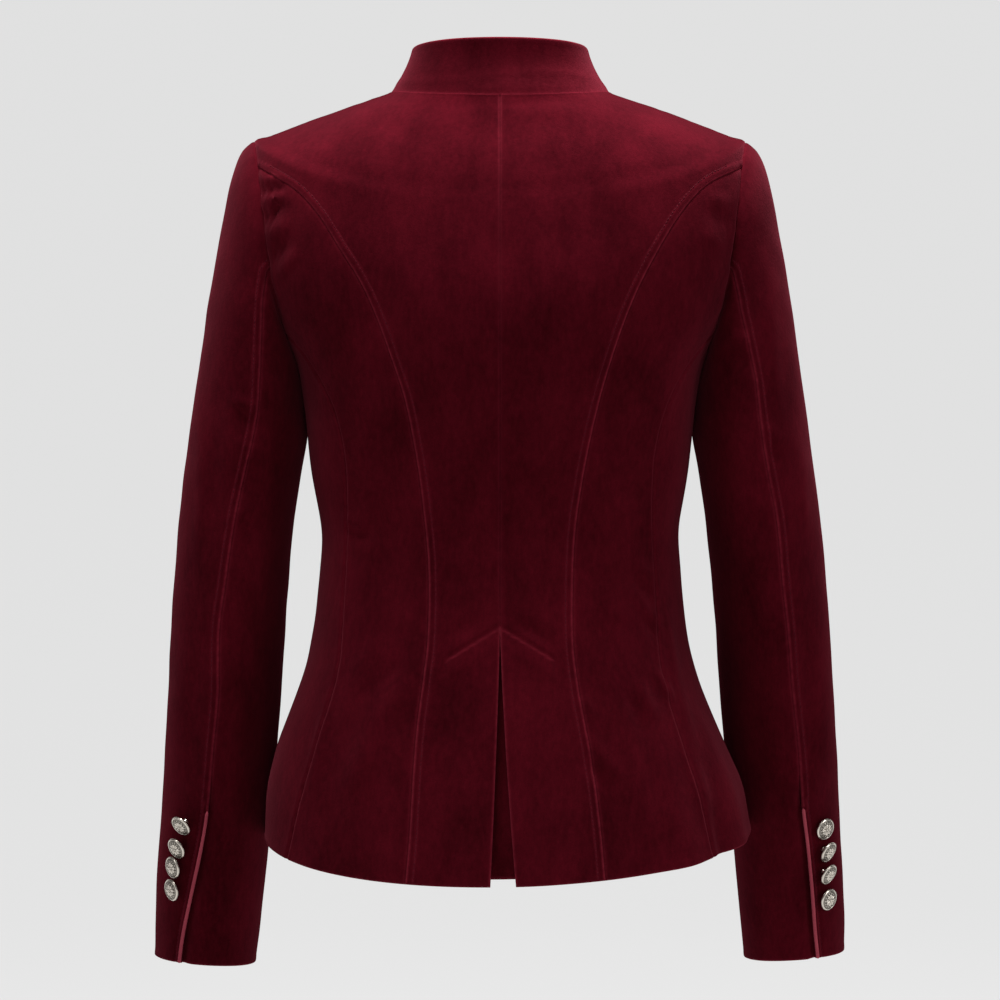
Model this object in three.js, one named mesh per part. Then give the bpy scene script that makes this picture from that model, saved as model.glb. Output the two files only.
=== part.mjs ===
// A fitted velvet jacket in traditional Alpine style, standing open and hollow as it is when worn.
// It has a stand collar, princess seams, a side body, two-piece sleeves with buttoned cuff vents,
// and an inverted pleat below a chevron at the centre back.
// Millimetres. +Z is up, -Y is the wearer's back, +Y the front, +X the wearer's right.
// The origin lies between the two points where the shoulder seams meet the collar.
import * as THREE from "three";

// Cloth
const CLOTH = 2; // velvet with its fused interlining
const COLLAR_CLOTH = 2.6; // two layers of velvet and a stiffener
const SEAM_GAP = 0.3; // between neighbouring pieces
const LAYER_GAP = 0.8; // between a piece and the one that lies under it

// First guesses of the searches for a place on a surface
const FULLER = 1.05; // a ring is about this much wider than its half width
const MOST_REACH = 0.97; // short of the side, where x no longer tells places apart
const ARMHOLE_SWING = 0.17; // turns from the side to the front or back of the armhole
const SEAM_NEAR = 20; // degrees between which the sleeve's back seam lies
const SEAM_FAR = 175;
const CUFF_BUTTON_TURN = 45;
const CUFF_BUTTON_RING = 12; // its ring's number is about this much less than its depth

// Body
const HEM = -560; // ring numbers are the ring's height on the side, in mm
const ARMPIT = -203;
const SHOULDER_TIP = -37.5;
const NECK = 73; // past the tip they count along the shoulder seam
const RING_LIFT_POWER = 1.5; // how a ring's height changes from the side to the centre

// Half the armhole, seen from the side
const ARMHOLE_Y = 2.5;
const ARMHOLE_Z = (ARMPIT + SHOULDER_TIP) / 2;
const ARMHOLE_HALF_DEPTH = 57;
const ARMHOLE_HALF_HEIGHT = (SHOULDER_TIP - ARMPIT) / 2;
// Where seams meet the armhole, in degrees from its top towards the back
const BACK_PRINCESS_ANGLE = 44;
const SIDE_SEAM_ANGLE = 138;
const FRONT_PRINCESS_ANGLE = -78;

// Mesh rows and columns
const SEAM_SAMPLES = 90; // places found along a seam before it is divided evenly
const EDGE_SAMPLES = 72; // places round the armhole's edge
const SIDE_ROWS = 20; // hem to armhole along the side seam
const ARM_ROWS_LOW = 5; // along the armhole, side seam to back princess seam
const ARM_ROWS_HIGH = 4; // along the armhole, princess seam to shoulder tip
const SHOULDER_ROWS = 5;
const BACK_COLUMNS = 8;
const UNDERLAY_ROWS = 8;
const UNDERLAY_COLUMNS = 8;
const SIDE_BACK_COLUMNS = 4;
const SIDE_COLUMNS = 8;
const FRONT_COLUMNS = 5; // beyond the strip beside the edge
const BACK_JOIN = 18; // ring at the centre back where rows that end above the princess seam begin
const FRONT_JOIN = -20; // the same at the centre front

// Front closing, the wearer's right over the left
const FRONT_OVERLAP = 15; // each front passes the centre by this much
const OVERLAP_RAMP = 18; // width over which the left front dips under
const FRONT_BUTTON_X = 0.5; // just off the centre, on the wearer's right
const FRONT_BUTTON_TOP = -118;
const FRONT_BUTTON_STEP = 62;
const FRONT_BUTTONS = 5;

// Back vent: an inverted pleat with an underlay
const VENT_TOP = -401;
const VENT_GAP_LEFT = 7; // how far each edge swings from the centre at the hem
const VENT_GAP_RIGHT = 10.5;
const VENT_CURVE = 1.3; // the edges swing out faster towards the hem
const CHEVRON_DROP = 23; // the chevron's arms fall by this much
const CHEVRON_REACH = 38;
const UNDERLAY_REACH = 44; // half width at the hem
const UNDERLAY_SHORT = 5; // the underlay ends above the hem
const UNDERLAY_LOW = 3; // and starts below the vent's top

// Collar
const COLLAR_FRONT_GAP = 5; // each end stops this far from the centre front
const COLLAR_HOLLOW = 1.8; // its profile is slightly concave
const COLLAR_HEIGHT = 42;
const COLLAR_CORNER = 22; // radius of its front corners
const COLLAR_CORNER_COLUMNS = [0, 0.1, 0.3, 0.6, 1]; // shares of a corner's radius
const COLLAR_CORNER_CLEAR = 0.02; // turns between a corner and the next column
const COLLAR_ROWS = 4;

// Sleeves
const SLEEVE_LENGTH = 645; // along the outer line
const CUFF_VENT_LENGTH = 124;
const SLEEVE_BACK_CORNER = 2; // the armhole's corner where its back seam starts, from the side seam up
const SLEEVE_FRONT_CORNER = 6; // and its front seam, from the side seam forwards
const UNDERLAP = 20; // the under sleeve passes beneath the vent's edge by this much
const UNDERLAP_RAMP = 9; // width over which it dips under
const DIP_LENGTH = 30; // length over which it dips, above the vent
const LAP_DELAY = 3; // the lap starts this far below the vent's top
const LAP_EDGE = 0.6; // the dip ends this far past the vent's edge
const EVEN_SHARE = 0.42; // how even the rows are; the rest of them lie closer on the cap
const ARM_ROWS = 18; // armhole to vent
const CUFF_ROWS = 6;
const PIPING_WIDTH = 2.6;
const PIPING_RISE = 1.3;
const PIPING_SIDES = 6;

// Buttons
const BUTTON_RADIUS = 7.75;
const BUTTON_DOME = 3.6;
const BUTTON_RIM = 1.3;
const BUTTON_ROUND = 0.5; // how far the rim's corners are cut back
const BUTTON_BEND = { radius: 4.8, height: 2.8 }; // where the dome bends, from its centre and back
const BUTTON_SEGMENTS = 12;
const BUTTON_STANDOFF = 1.2; // its shank holds the disc this far off the cloth
const BUTTON_SHANK_RADIUS = 2.2;

// The body's rings: half width, then where each ring crosses the side, the centre back and the
// centre front. flare widens the wearer's right, lift raises that side and lowers the other, and
// full is how square the ring is.
const BODY = records("at wide flare sideY sideZ backY backZ frontY frontZ lift full", [
  [-560, 175, 12, -18, -554, -125, -582, 113, -574, 3.4, 0.12],
  [-520, 173, 7, -15, -517, -119, -536, 111, -530, 2.2, 0.12],
  [-486, 166, 1, -11, -486, -113, -495, 109, -491, 1, 0.12],
  [-456, 154.5, 0, -8, -456, -107, -460, 106, -458, 0, 0.12],
  [-426, 144.3, 0, -6, -426, -100, -427, 103, -426, 0, 0.13],
  [-396, 138.5, 0, -4, -396, -93, -396, 100, -396, 0, 0.14],
  [-360, 135, 0, -3, -360, -88, -360, 99, -360, 0, 0.15],
  [-328, 133.5, 0, -3, -328, -88, -328, 102, -328, 0, 0.15],
  [-283, 141, 0, -4, -283, -94, -283, 114, -283, 0, 0.16],
  [-238, 146, 0, -2, -238, -102, -239, 125, -240, 0, 0.17],
  [ARMPIT, 153, 0, 2.5, ARMPIT, -107, -208, 126, -213, 0, 0.17],
  [-165, 171, 0, 2.5, -165, -109, -180, 124, -193, 0, 0.16],
  [-125, 184, 0, 2.5, -125, -109, -154, 119, -175, 0, 0.15],
  [-80, 190, 0, 2.5, -80, -106, -126, 110, -156, 0, 0.14],
  [SHOULDER_TIP, 184.5, 0, 2.5, -37.5, -99, -92, 98, -134, 0, 0.12],
  [-10, 161, 0, 3.5, -28.6, -93, -71, 92, -121, 0, 0.11],
  [18, 134, 0, 5, -18.5, -84, -50, 84, -108, 0, 0.1],
  [NECK, 82, 0, 8, 0, -60, -8.5, 66, -80, 0, 0.08],
]);

// Top edge of the collar, in the same terms
const COLLAR_TOP = {
  wide: 65.5,
  flare: 0,
  sideY: 6,
  sideZ: 33,
  backY: -57,
  backZ: 33.6,
  frontY: 57,
  frontZ: -40,
  lift: 0,
  full: 0.08,
};

// Soft folds of the body. Each runs from one ring to a lower one and from one place round the
// ring to another, in turns from the centre back, and stands out by rise where it is fullest.
const BODY_FOLDS = [
  { from: -400, to: -560, around: 0.16, ends: 0.235, width: 0.036, rise: 4 },
  { from: -425, to: -560, around: 0.305, ends: 0.315, width: 0.014, rise: -2.4 },
  { from: -410, to: -560, around: 0.35, ends: 0.37, width: 0.035, rise: 3.4 },
  { from: -400, to: -560, around: 0.02, ends: 0.03, width: 0.04, rise: 1.6 },
  { from: -410, to: -560, around: 0.66, ends: 0.7, width: 0.04, rise: 3 },
  { from: -430, to: -560, around: 0.83, ends: 0.86, width: 0.035, rise: 2.4 },
];

// Princess seam of the back: its distance from the centre back on each side, at each height
const BACK_PRINCESS = [
  { z: -580, left: 67.9, right: 75.8 },
  { z: -545, left: 65, right: 72.8 },
  { z: -505, left: 62.9, right: 68 },
  { z: -470, left: 60.2, right: 62 },
  { z: -440, left: 56.3, right: 56.6 },
  { z: -408, left: 52.8, right: 53.2 },
  { z: -358, left: 52.1, right: 53.3 },
  { z: -322, left: 54.9, right: 55.6 },
  { z: -290, left: 58.6, right: 60.4 },
  { z: -260, left: 63.4, right: 66.2 },
  { z: -232, left: 69.5, right: 73 },
  { z: -205, left: 78.8, right: 81.2 },
  { z: -178, left: 88.5, right: 90.3 },
  { z: -150, left: 100.7, right: 101.8 },
  { z: -122, left: 117.8, right: 116.5 },
  { z: -100, left: 131.5, right: 130 },
  { z: -82, left: 147, right: 144.6 },
  { z: -72, left: 160.5, right: 157 },
];

// Side seam, which lies towards the back
const SIDE_SEAM = [
  { z: -567, left: 155.5, right: 155.5 },
  { z: -526, left: 146, right: 146 },
  { z: -482, left: 132.8, right: 132.8 },
  { z: -453, left: 124.3, right: 124.3 },
  { z: -423, left: 117.7, right: 117.7 },
  { z: -379, left: 114.8, right: 114.8 },
  { z: -317, left: 112.2, right: 112.2 },
  { z: -277, left: 113.5, right: 113.5 },
  { z: -250, left: 118.5, right: 118.5 },
  { z: -225, left: 128, right: 128 },
  { z: -200, left: 143.5, right: 143.5 },
];

// Princess seam of the front
const FRONT_PRINCESS = [
  { z: -573, left: 84, right: 84 },
  { z: -486, left: 72, right: 72 },
  { z: -430, left: 64, right: 64 },
  { z: -380, left: 59, right: 59 },
  { z: -328, left: 60, right: 60 },
  { z: -283, left: 67, right: 67 },
  { z: -240, left: 77, right: 77 },
  { z: -205, left: 87, right: 87 },
  { z: -175, left: 100, right: 100 },
  { z: -145, left: 121, right: 121 },
  { z: -122, left: 145, right: 145 },
];

// The sleeve's rings, numbered along its outer line: where each crosses the side next to the
// body and the outer side, how far forward its centre lies on each arm, how much nearer the body
// the left one hangs, and half its depth
const SLEEVE = records("at inX inZ outX outZ leftY rightY tuck deep", [
  [0, 153, ARMPIT, 184.5, SHOULDER_TIP, 2.5, 2.5, 0, 57],
  [12, 154.2, -207, 193.5, -45, 2.5, 2.5, 0, 57.5],
  [30, 153.8, -212, 199.5, -60, 2.5, 3, 0, 58],
  [60, 152.6, -219, 206, -88, 3, 4, 0, 58.5],
  [100, 151, -229, 213.5, -127, 4, 5, 0, 59],
  [140, 148.2, -241, 220, -167, 5, 6.5, 0, 59],
  [180, 146.6, -256, 225.8, -206, 6, 8, 0, 58.5],
  [230, 148.2, -282, 232.8, -255, 7, 10, 0, 57],
  [290, 154.8, -325, 240, -314, 9, 13, 0, 54.5],
  [350, 160.9, -377, 246, -371, 11, 18, 0.8, 52],
  [430, 166.8, -452, 252, -446, 15, 27, 1.8, 50],
  [520, 175.2, -537, 258, -531, 21, 42, 2.6, 47.5],
  [590, 181.2, -603, 262.4, -597, 27, 51, 2.2, 45],
  [SLEEVE_LENGTH, 187, -656.5, 263.8, -650.5, 31, 57, 1.8, 43],
]);
const CAP_FADE = 70; // the armhole's own curve dies away over this much of the sleeve

// The sleeve's back seam, whose lower end is the edge of the cuff vent: its distance from the
// body's centre at each height. It starts at a corner of the body's pieces on the armhole.
const SLEEVE_BACK_SEAM = [
  { z: -660, left: 243, right: 242 },
  { z: -632, left: 239.5, right: 240 },
  { z: -602, left: 233, right: 237.5 },
  { z: -565, left: 224.5, right: 233.5 },
  { z: -537, left: 219, right: 229 },
  { z: -491, left: 212, right: 222.5 },
  { z: -450, left: 208, right: 217.5 },
  { z: -403, left: 207, right: 213 },
  { z: -366, left: 202, right: 208.5 },
  { z: -321, left: 195, right: 204 },
  { z: -284, left: 187, right: 197 },
  { z: -246, left: 178.5, right: 191 },
  { z: -216, left: 176, right: 187.5 },
  { z: -186, left: 174.8, right: 181 },
  { z: -162, left: 174, right: 175.8 },
  { z: -140, left: 173, right: 174 },
];

// The four buttons of each cuff: distance from the body's centre, height, and how far each leans,
// in degrees, on its shank: outwards round the arm and down along it
const CUFF_BUTTONS = {
  left: [
    { x: 238.3, z: -547.3, roll: -12, nod: 10 },
    { x: 241.3, z: -565.2, roll: -3, nod: -4 },
    { x: 243.5, z: -580.1, roll: -5, nod: 3 },
    { x: 244.3, z: -597, roll: -2, nod: 5 },
  ],
  right: [
    { x: 245.7, z: -553.9, roll: -4, nod: -5 },
    { x: 247.9, z: -572, roll: 14, nod: 4 },
    { x: 247.9, z: -588.6, roll: 10, nod: -8 },
    { x: 248.7, z: -607.4, roll: 4, nod: 2 },
  ],
};

const VELVET = { color: 0x4a0a16, roughness: 0.85, metalness: 0 };
const PIPING = { color: 0x6e2530, roughness: 0.7, metalness: 0 };
const SILVER = { color: 0x9c948a, roughness: 0.4, metalness: 1 };

const SIDES = { left: -1, right: 1 };
const radians = THREE.MathUtils.degToRad;
const lerp = THREE.MathUtils.lerp;
const smoothstep = THREE.MathUtils.smoothstep;
const steps = (count, make) => Array.from({ length: count + 1 }, (_, i) => make(i / count));

// Rows of numbers as records, whose names are the columns'
function records(names, rows) {
  const keys = names.split(" ");
  return rows.map((row) => Object.fromEntries(row.map((value, i) => [keys[i], value])));
}

// A smooth curve through one column of a table, as a function of its key column
function curve(table, name, key = "at") {
  const x = table.map((row) => row[key]);
  const y = table.map((row) => row[name]);
  const last = x.length - 1;
  const slope = x.map((_, i) => {
    const a = Math.max(i - 1, 0);
    const b = Math.min(i + 1, last);
    return (y[b] - y[a]) / (x[b] - x[a]);
  });
  return (q) => {
    let i = 0;
    while (i < last - 1 && q > x[i + 1]) i++;
    const h = x[i + 1] - x[i];
    const t = (q - x[i]) / h;
    const t2 = t * t;
    const t3 = t2 * t;
    return (
      y[i] * (2 * t3 - 3 * t2 + 1) +
      slope[i] * h * (t3 - 2 * t2 + t) +
      y[i + 1] * (3 * t2 - 2 * t3) +
      slope[i + 1] * h * (t3 - t2)
    );
  };
}

const curves = (table, names) => Object.fromEntries(names.map((name) => [name, curve(table, name)]));
const bodyAt = curves(BODY, Object.keys(BODY[0]).slice(1));
const sleeveAt = curves(SLEEVE, Object.keys(SLEEVE[0]).slice(1));

// A point on a closed ring. turn is 0 at the centre back, 0.5 at the wearer's right side,
// 1 at the centre front and -0.5 at the left side.
function onRing(ring, turn) {
  const s = Math.sin(turn * Math.PI);
  const c = Math.cos(turn * Math.PI);
  const endY = c > 0 ? ring.backY : ring.frontY;
  const endZ = c > 0 ? ring.backZ : ring.frontZ;
  const wide = ring.wide + (s > 0 ? ring.flare : 0);
  return new THREE.Vector3(
    wide * s * (1 + ring.full * c * c),
    ring.sideY + (endY - ring.sideY) * Math.abs(c) * (1 + ring.full * s * s),
    ring.sideZ + (endZ - ring.sideZ) * Math.abs(c) ** RING_LIFT_POWER + ring.lift * s,
  );
}

// Millimetres in one turn where a ring crosses the centre
const centreScale = (at) => Math.PI * bodyAt.wide(at) * (1 + bodyAt.full(at));

// How far the folds stand out at a place on the body
function foldRise(turn, at) {
  const around = THREE.MathUtils.euclideanModulo(turn + 1, 2) - 1;
  return BODY_FOLDS.reduce((sum, fold) => {
    const along = (at - fold.from) / (fold.to - fold.from);
    const off = (around - lerp(fold.around, fold.ends, along)) / fold.width;
    return sum + fold.rise * smoothstep(along, 0, 1) * Math.exp(-off * off);
  }, 0);
}

// The outer surface of the body
function body(turn, at) {
  const ring = Object.fromEntries(Object.entries(bodyAt).map(([name, value]) => [name, value(at)]));
  const point = onRing(ring, turn);
  const outward = new THREE.Vector3(point.x, point.y - ring.sideY, 0).normalize();
  return point.addScaledVector(outward, foldRise(turn, at));
}

// Unit normal of a surface at a place
function normalOf(surface, p, q, stepP, stepQ) {
  const alongP = surface(p + stepP, q).sub(surface(p - stepP, q));
  const alongQ = surface(p, q + stepQ).sub(surface(p, q - stepQ));
  return alongP.cross(alongQ).normalize();
}
const bodyNormal = (turn, at) => normalOf(body, turn, at, 1e-3, 0.2);

// The place on a surface where two measures of its point are both zero, by Newton's method
function solve(surface, start, miss) {
  let [p, q] = start;
  const stepP = 1e-4;
  const stepQ = 1e-3;
  for (let i = 0; i < 12; i++) {
    const [a, b] = miss(surface(p, q));
    const [aNextP, bNextP] = miss(surface(p + stepP, q));
    const [aNextQ, bNextQ] = miss(surface(p, q + stepQ));
    const [ap, bp] = [(aNextP - a) / stepP, (bNextP - b) / stepP];
    const [aq, bq] = [(aNextQ - a) / stepQ, (bNextQ - b) / stepQ];
    const det = ap * bq - aq * bp;
    p -= (a * bq - b * aq) / det;
    q -= (ap * b - bp * a) / det;
  }
  return [p, q];
}

// The place on the body at a distance x from the centre and a height z, on its back or front
function placeOnBody(x, z, face) {
  const reach = Math.asin(Math.min(Math.abs(x) / (bodyAt.wide(z) * FULLER), MOST_REACH)) / Math.PI;
  const turn = (face === "back" ? reach : 1 - reach) * Math.sign(x);
  return solve(body, [turn, z], (point) => [point.x - x, point.z - z]);
}

// The place on the hem at a distance from the centre
function placeOnHem(side, x, face) {
  let near = face === "back" ? 0 : 1;
  let far = 0.5;
  for (let i = 0; i < 40; i++) {
    const middle = (near + far) / 2;
    if (Math.abs(body(SIDES[side] * middle, HEM).x) < x) near = middle;
    else far = middle;
  }
  return [SIDES[side] * near, HEM];
}

// The place on the body's armhole at an angle from its top towards the back
function armholePlace(side, degrees) {
  const angle = radians(degrees);
  const y = ARMHOLE_Y - ARMHOLE_HALF_DEPTH * Math.sin(angle);
  const z = ARMHOLE_Z + ARMHOLE_HALF_HEIGHT * Math.cos(angle);
  const start = [SIDES[side] * (0.5 - ARMHOLE_SWING * Math.sin(angle)), z];
  return solve(body, start, (point) => [point.y - y, point.z - z]);
}

// The same line of places with a number of equal steps along the cloth
function spaced(places, count) {
  const points = places.map((place) => body(...place));
  const along = [0];
  for (let i = 1; i < points.length; i++) along.push(along[i - 1] + points[i].distanceTo(points[i - 1]));
  return steps(count, (t) => {
    if (t === 1) return places.at(-1);
    const reach = t * along.at(-1);
    const i = along.findLastIndex((length) => length <= reach);
    const share = (reach - along[i]) / (along[i + 1] - along[i]);
    return [0, 1].map((k) => lerp(places[i][k], places[i + 1][k], share));
  });
}

// A seam from the hem to the armhole
function seam(side, table, face, endAngle, count) {
  const hemStart = placeOnHem(side, table[0][side], face);
  const end = armholePlace(side, endAngle);
  const hemZ = body(...hemStart).z;
  const endPoint = body(...end);
  const x = curve([...table, { z: endPoint.z, [side]: Math.abs(endPoint.x) }], side, "z");
  const samples = steps(SEAM_SAMPLES, (t) => {
    if (t === 0) return hemStart;
    if (t === 1) return end;
    const z = lerp(hemZ, endPoint.z, t);
    return placeOnBody(SIDES[side] * x(z), z, face);
  });
  return spaced(samples, count);
}

// Angles of the corners that the body's pieces have along the armhole, from its front seam
// under the arm to the top and down again to that seam
const angles = (from, to, count) => steps(count, (t) => lerp(from, to, t));
const BACK_LOW = angles(SIDE_SEAM_ANGLE, BACK_PRINCESS_ANGLE, ARM_ROWS_LOW);
const BACK_HIGH = angles(BACK_PRINCESS_ANGLE, 0, ARM_ROWS_HIGH);
const FRONT_HIGH = angles(0, FRONT_PRINCESS_ANGLE, ARM_ROWS_HIGH);
const UNDERARM = angles(SIDE_SEAM_ANGLE, FRONT_PRINCESS_ANGLE + 360, SIDE_COLUMNS);
// The sleeve's two seams meet the armhole at corners of the body's pieces
const SLEEVE_BACK_ANGLE = BACK_LOW[SLEEVE_BACK_CORNER];
const SLEEVE_FRONT_ANGLE = UNDERARM[SLEEVE_FRONT_CORNER] - 360;
const TOP_SLEEVE_ANGLES = [
  ...BACK_LOW.slice(SLEEVE_BACK_CORNER),
  ...BACK_HIGH.slice(1),
  ...FRONT_HIGH.slice(1),
  ...UNDERARM.slice(SLEEVE_FRONT_CORNER, -1).reverse().map((angle) => angle - 360),
];
const UNDER_SLEEVE_ANGLES = [
  ...BACK_LOW.slice(1, SLEEVE_BACK_CORNER + 1).reverse(),
  ...UNDERARM.slice(0, SLEEVE_FRONT_CORNER + 1),
];

// A grid of places between two seams with equal numbers of points. shares gives the columns of
// a row, from 0 to 1. arc, where given, is a row of places that the last row follows.
function between(left, right, shares, arc) {
  const last = left.length - 1;
  return left.map((start, i) =>
    shares(start, right[i]).map((s, j) => {
      const place = [0, 1].map((k) => lerp(start[k], right[i][k], s));
      if (!arc) return place;
      const weight = (i / last) ** 4;
      return place.map((value, k) => value + weight * (arc[j][k] - lerp(left[last][k], right[last][k], s)));
    }),
  );
}
const even = (count) => () => steps(count, (t) => t);

// The same grid of points with its four edges pulled in along the cloth by half the seam gap
function withSeamGap(grid, normals) {
  const rows = grid.length - 1;
  const columns = grid[0].length - 1;
  const clamp = THREE.MathUtils.clamp;
  const at = (i, j) => grid[clamp(i, 0, rows)][clamp(j, 0, columns)];
  const pull = (i, j, inner, before, after) => {
    const across = after.clone().sub(before).cross(normals[i][j]).normalize();
    const inward = across.dot(inner.clone().sub(grid[i][j]));
    return across.multiplyScalar(Math.abs(inward) < 1e-4 ? 0 : (Math.sign(inward) * SEAM_GAP) / 2);
  };
  return grid.map((row, i) =>
    row.map((point, j) => {
      const moved = point.clone();
      if (j === 0) moved.add(pull(i, j, at(i, 1), at(i - 1, j), at(i + 1, j)));
      if (j === columns) moved.add(pull(i, j, at(i, columns - 1), at(i - 1, j), at(i + 1, j)));
      if (i === 0) moved.add(pull(i, j, at(1, j), at(i, j - 1), at(i, j + 1)));
      if (i === rows) moved.add(pull(i, j, at(rows - 1, j), at(i, j - 1), at(i, j + 1)));
      return moved;
    }),
  );
}

// A closed geometry between an outer grid of points and an inner one of the same size
function wall(outer, inner) {
  const rows = outer.length - 1;
  const columns = outer[0].length - 1;
  const triangles = [];
  const apart = (a, b) => a.distanceTo(b) > 1e-3;
  const triangle = (a, b, c) => {
    if (apart(a, b) && apart(b, c) && apart(c, a)) triangles.push(a, b, c);
  };
  const quad = (a, b, c, d) => {
    triangle(a, b, c);
    triangle(a, c, d);
  };
  // Each cell of the grid is split along the shorter diagonal of its outer side
  for (let i = 0; i < rows; i++)
    for (let j = 0; j < columns; j++) {
      const cell = (grid) => [grid[i][j], grid[i][j + 1], grid[i + 1][j + 1], grid[i + 1][j]];
      const [a, b, c, d] = cell(outer);
      const [e, f, g, h] = cell(inner);
      if (a.distanceTo(c) < b.distanceTo(d)) {
        quad(a, b, c, d);
        quad(g, f, e, h);
      } else {
        quad(b, c, d, a);
        quad(f, e, h, g);
      }
    }
  for (let i = 0; i < rows; i++) {
    quad(outer[i][0], outer[i + 1][0], inner[i + 1][0], inner[i][0]);
    quad(outer[i][columns], inner[i][columns], inner[i + 1][columns], outer[i + 1][columns]);
  }
  for (let j = 0; j < columns; j++) {
    quad(outer[0][j], inner[0][j], inner[0][j + 1], outer[0][j + 1]);
    quad(outer[rows][j], outer[rows][j + 1], inner[rows][j + 1], inner[rows][j]);
  }
  return closed(triangles);
}

// A geometry from triangles, turned so that its faces point out
function closed(triangles) {
  let volume = 0;
  for (let i = 0; i < triangles.length; i += 3)
    volume += triangles[i].dot(new THREE.Vector3().crossVectors(triangles[i + 1], triangles[i + 2]));
  if (volume < 0)
    for (let i = 0; i < triangles.length; i += 3)
      [triangles[i + 1], triangles[i + 2]] = [triangles[i + 2], triangles[i + 1]];
  const geometry = new THREE.BufferGeometry().setFromPoints(triangles);
  geometry.computeVertexNormals();
  return geometry;
}

const jacket = new THREE.Group();
jacket.name = "jacket";

function add(name, geometry, finish) {
  const mesh = new THREE.Mesh(geometry, new THREE.MeshStandardMaterial(finish));
  mesh.name = name;
  jacket.add(mesh);
  return mesh;
}

// A piece of cloth from a grid of outer points and their normals. dip gives how far each point
// lies under that surface.
function addCloth(name, surface, normals, dip = () => 0, thick = CLOTH) {
  const under = (grid, depth) =>
    grid.map((row, i) => row.map((point, j) => point.clone().addScaledVector(normals[i][j], -depth(i, j))));
  const outer = under(withSeamGap(surface, normals), dip);
  return add(name, wall(outer, under(outer, () => thick)), VELVET);
}

function addBodyPiece(name, places, dip = () => 0) {
  const surface = places.map((row) => row.map((place) => body(...place)));
  const normals = places.map((row) => row.map((place) => bodyNormal(...place)));
  return addCloth(name, surface, normals, (i, j) => dip(surface[i][j]));
}

// The seams of one side of the body, as lists of places from the hem up
function bodySeams(side) {
  const backRows = SIDE_ROWS + ARM_ROWS_LOW;
  const armhole = (list) => list.map((degrees) => armholePlace(side, degrees));
  const shoulder = steps(SHOULDER_ROWS, (t) => [SIDES[side] * 0.5, lerp(SHOULDER_TIP, NECK, t)]).slice(1);
  const backPrincess = seam(side, BACK_PRINCESS, "back", BACK_PRINCESS_ANGLE, backRows);
  const sideSeam = seam(side, SIDE_SEAM, "back", SIDE_SEAM_ANGLE, SIDE_ROWS);
  const frontPrincess = seam(side, FRONT_PRINCESS, "front", FRONT_PRINCESS_ANGLE, SIDE_ROWS);
  const frontHigh = armhole(FRONT_HIGH.slice(0, -1).reverse());
  return {
    backPrincess,
    sideSeam,
    sideSeamAndArmhole: [...sideSeam, ...armhole(BACK_LOW.slice(1))],
    frontPrincess,
    underarm: armhole(UNDERARM),
    backOuter: [...backPrincess, ...armhole(BACK_HIGH.slice(1)), ...shoulder],
    frontOuter: [...frontPrincess, ...frontHigh, ...shoulder],
  };
}

// Ring numbers for the centre edge of a panel: even steps up to join, where the rows that end on
// the armhole and the shoulder begin, and even steps above it
function centreRings(seamRows, join) {
  const above = ARM_ROWS_HIGH + SHOULDER_ROWS;
  return [
    ...steps(seamRows, (t) => lerp(HEM, join, t)),
    ...steps(above, (t) => lerp(join, NECK, t)).slice(1),
  ];
}

// The centre back edge: on the centre above the vent, swinging away from it below
function centreBack(side) {
  const gap = side === "left" ? VENT_GAP_LEFT : VENT_GAP_RIGHT;
  return centreRings(SIDE_ROWS + ARM_ROWS_LOW, BACK_JOIN).map((at) => {
    const down = Math.max(0, (VENT_TOP - at) / (VENT_TOP - HEM));
    return [(SIDES[side] * gap * down ** VENT_CURVE) / centreScale(at), at];
  });
}

// The centre front edge, past the centre by the overlap
function centreFront(side) {
  const edge = (at) => [SIDES[side] * (1 + FRONT_OVERLAP / centreScale(at)), at];
  return centreRings(SIDE_ROWS, FRONT_JOIN).map(edge);
}

// Columns of a front: its edge, the centre, the other front's edge, the end of the ramp, and on
function frontShares(edge, outer) {
  const range = Math.abs(outer[0] - edge[0]) * centreScale(edge[1]);
  const lap = 2 * FRONT_OVERLAP;
  const strip = [0, FRONT_OVERLAP, lap, lap + OVERLAP_RAMP].map((distance) => distance / range);
  return [...strip, ...steps(FRONT_COLUMNS, (t) => lerp(strip.at(-1), 1, t)).slice(1)];
}

function frontPlaces(side, seams) {
  return between(centreFront(side), seams.frontOuter, frontShares);
}

function buildBody(side) {
  const seams = bodySeams(side);
  const back = between(centreBack(side), seams.backOuter, even(BACK_COLUMNS));
  const sideBack = between(seams.backPrincess, seams.sideSeamAndArmhole, even(SIDE_BACK_COLUMNS));
  const sidePlaces = between(seams.sideSeam, seams.frontPrincess, even(SIDE_COLUMNS), seams.underarm);
  addBodyPiece("back_" + side, back);
  addBodyPiece("side_back_" + side, sideBack);
  addBodyPiece("side_" + side, sidePlaces);
  // The left front lies beneath the right one
  const under = (point) =>
    (CLOTH + LAYER_GAP) * smoothstep(point.x, -FRONT_OVERLAP - OVERLAP_RAMP, -FRONT_OVERLAP);
  return addBodyPiece("front_" + side, frontPlaces(side, seams), side === "left" ? under : undefined);
}

// The pleat's underlay, whose top edge follows the chevron
function buildUnderlay() {
  const places = steps(UNDERLAY_ROWS, (t) =>
    steps(UNDERLAY_COLUMNS, (s) => {
      const across = s * 2 - 1;
      const top = VENT_TOP - UNDERLAY_LOW - CHEVRON_DROP * Math.abs(across);
      const at = lerp(HEM + UNDERLAY_SHORT, top, t);
      const x = across * lerp(UNDERLAY_REACH, CHEVRON_REACH, t);
      return [x / centreScale(at), at];
    }),
  );
  addBodyPiece("pleat_underlay", places, () => CLOTH + LAYER_GAP);
}

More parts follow.
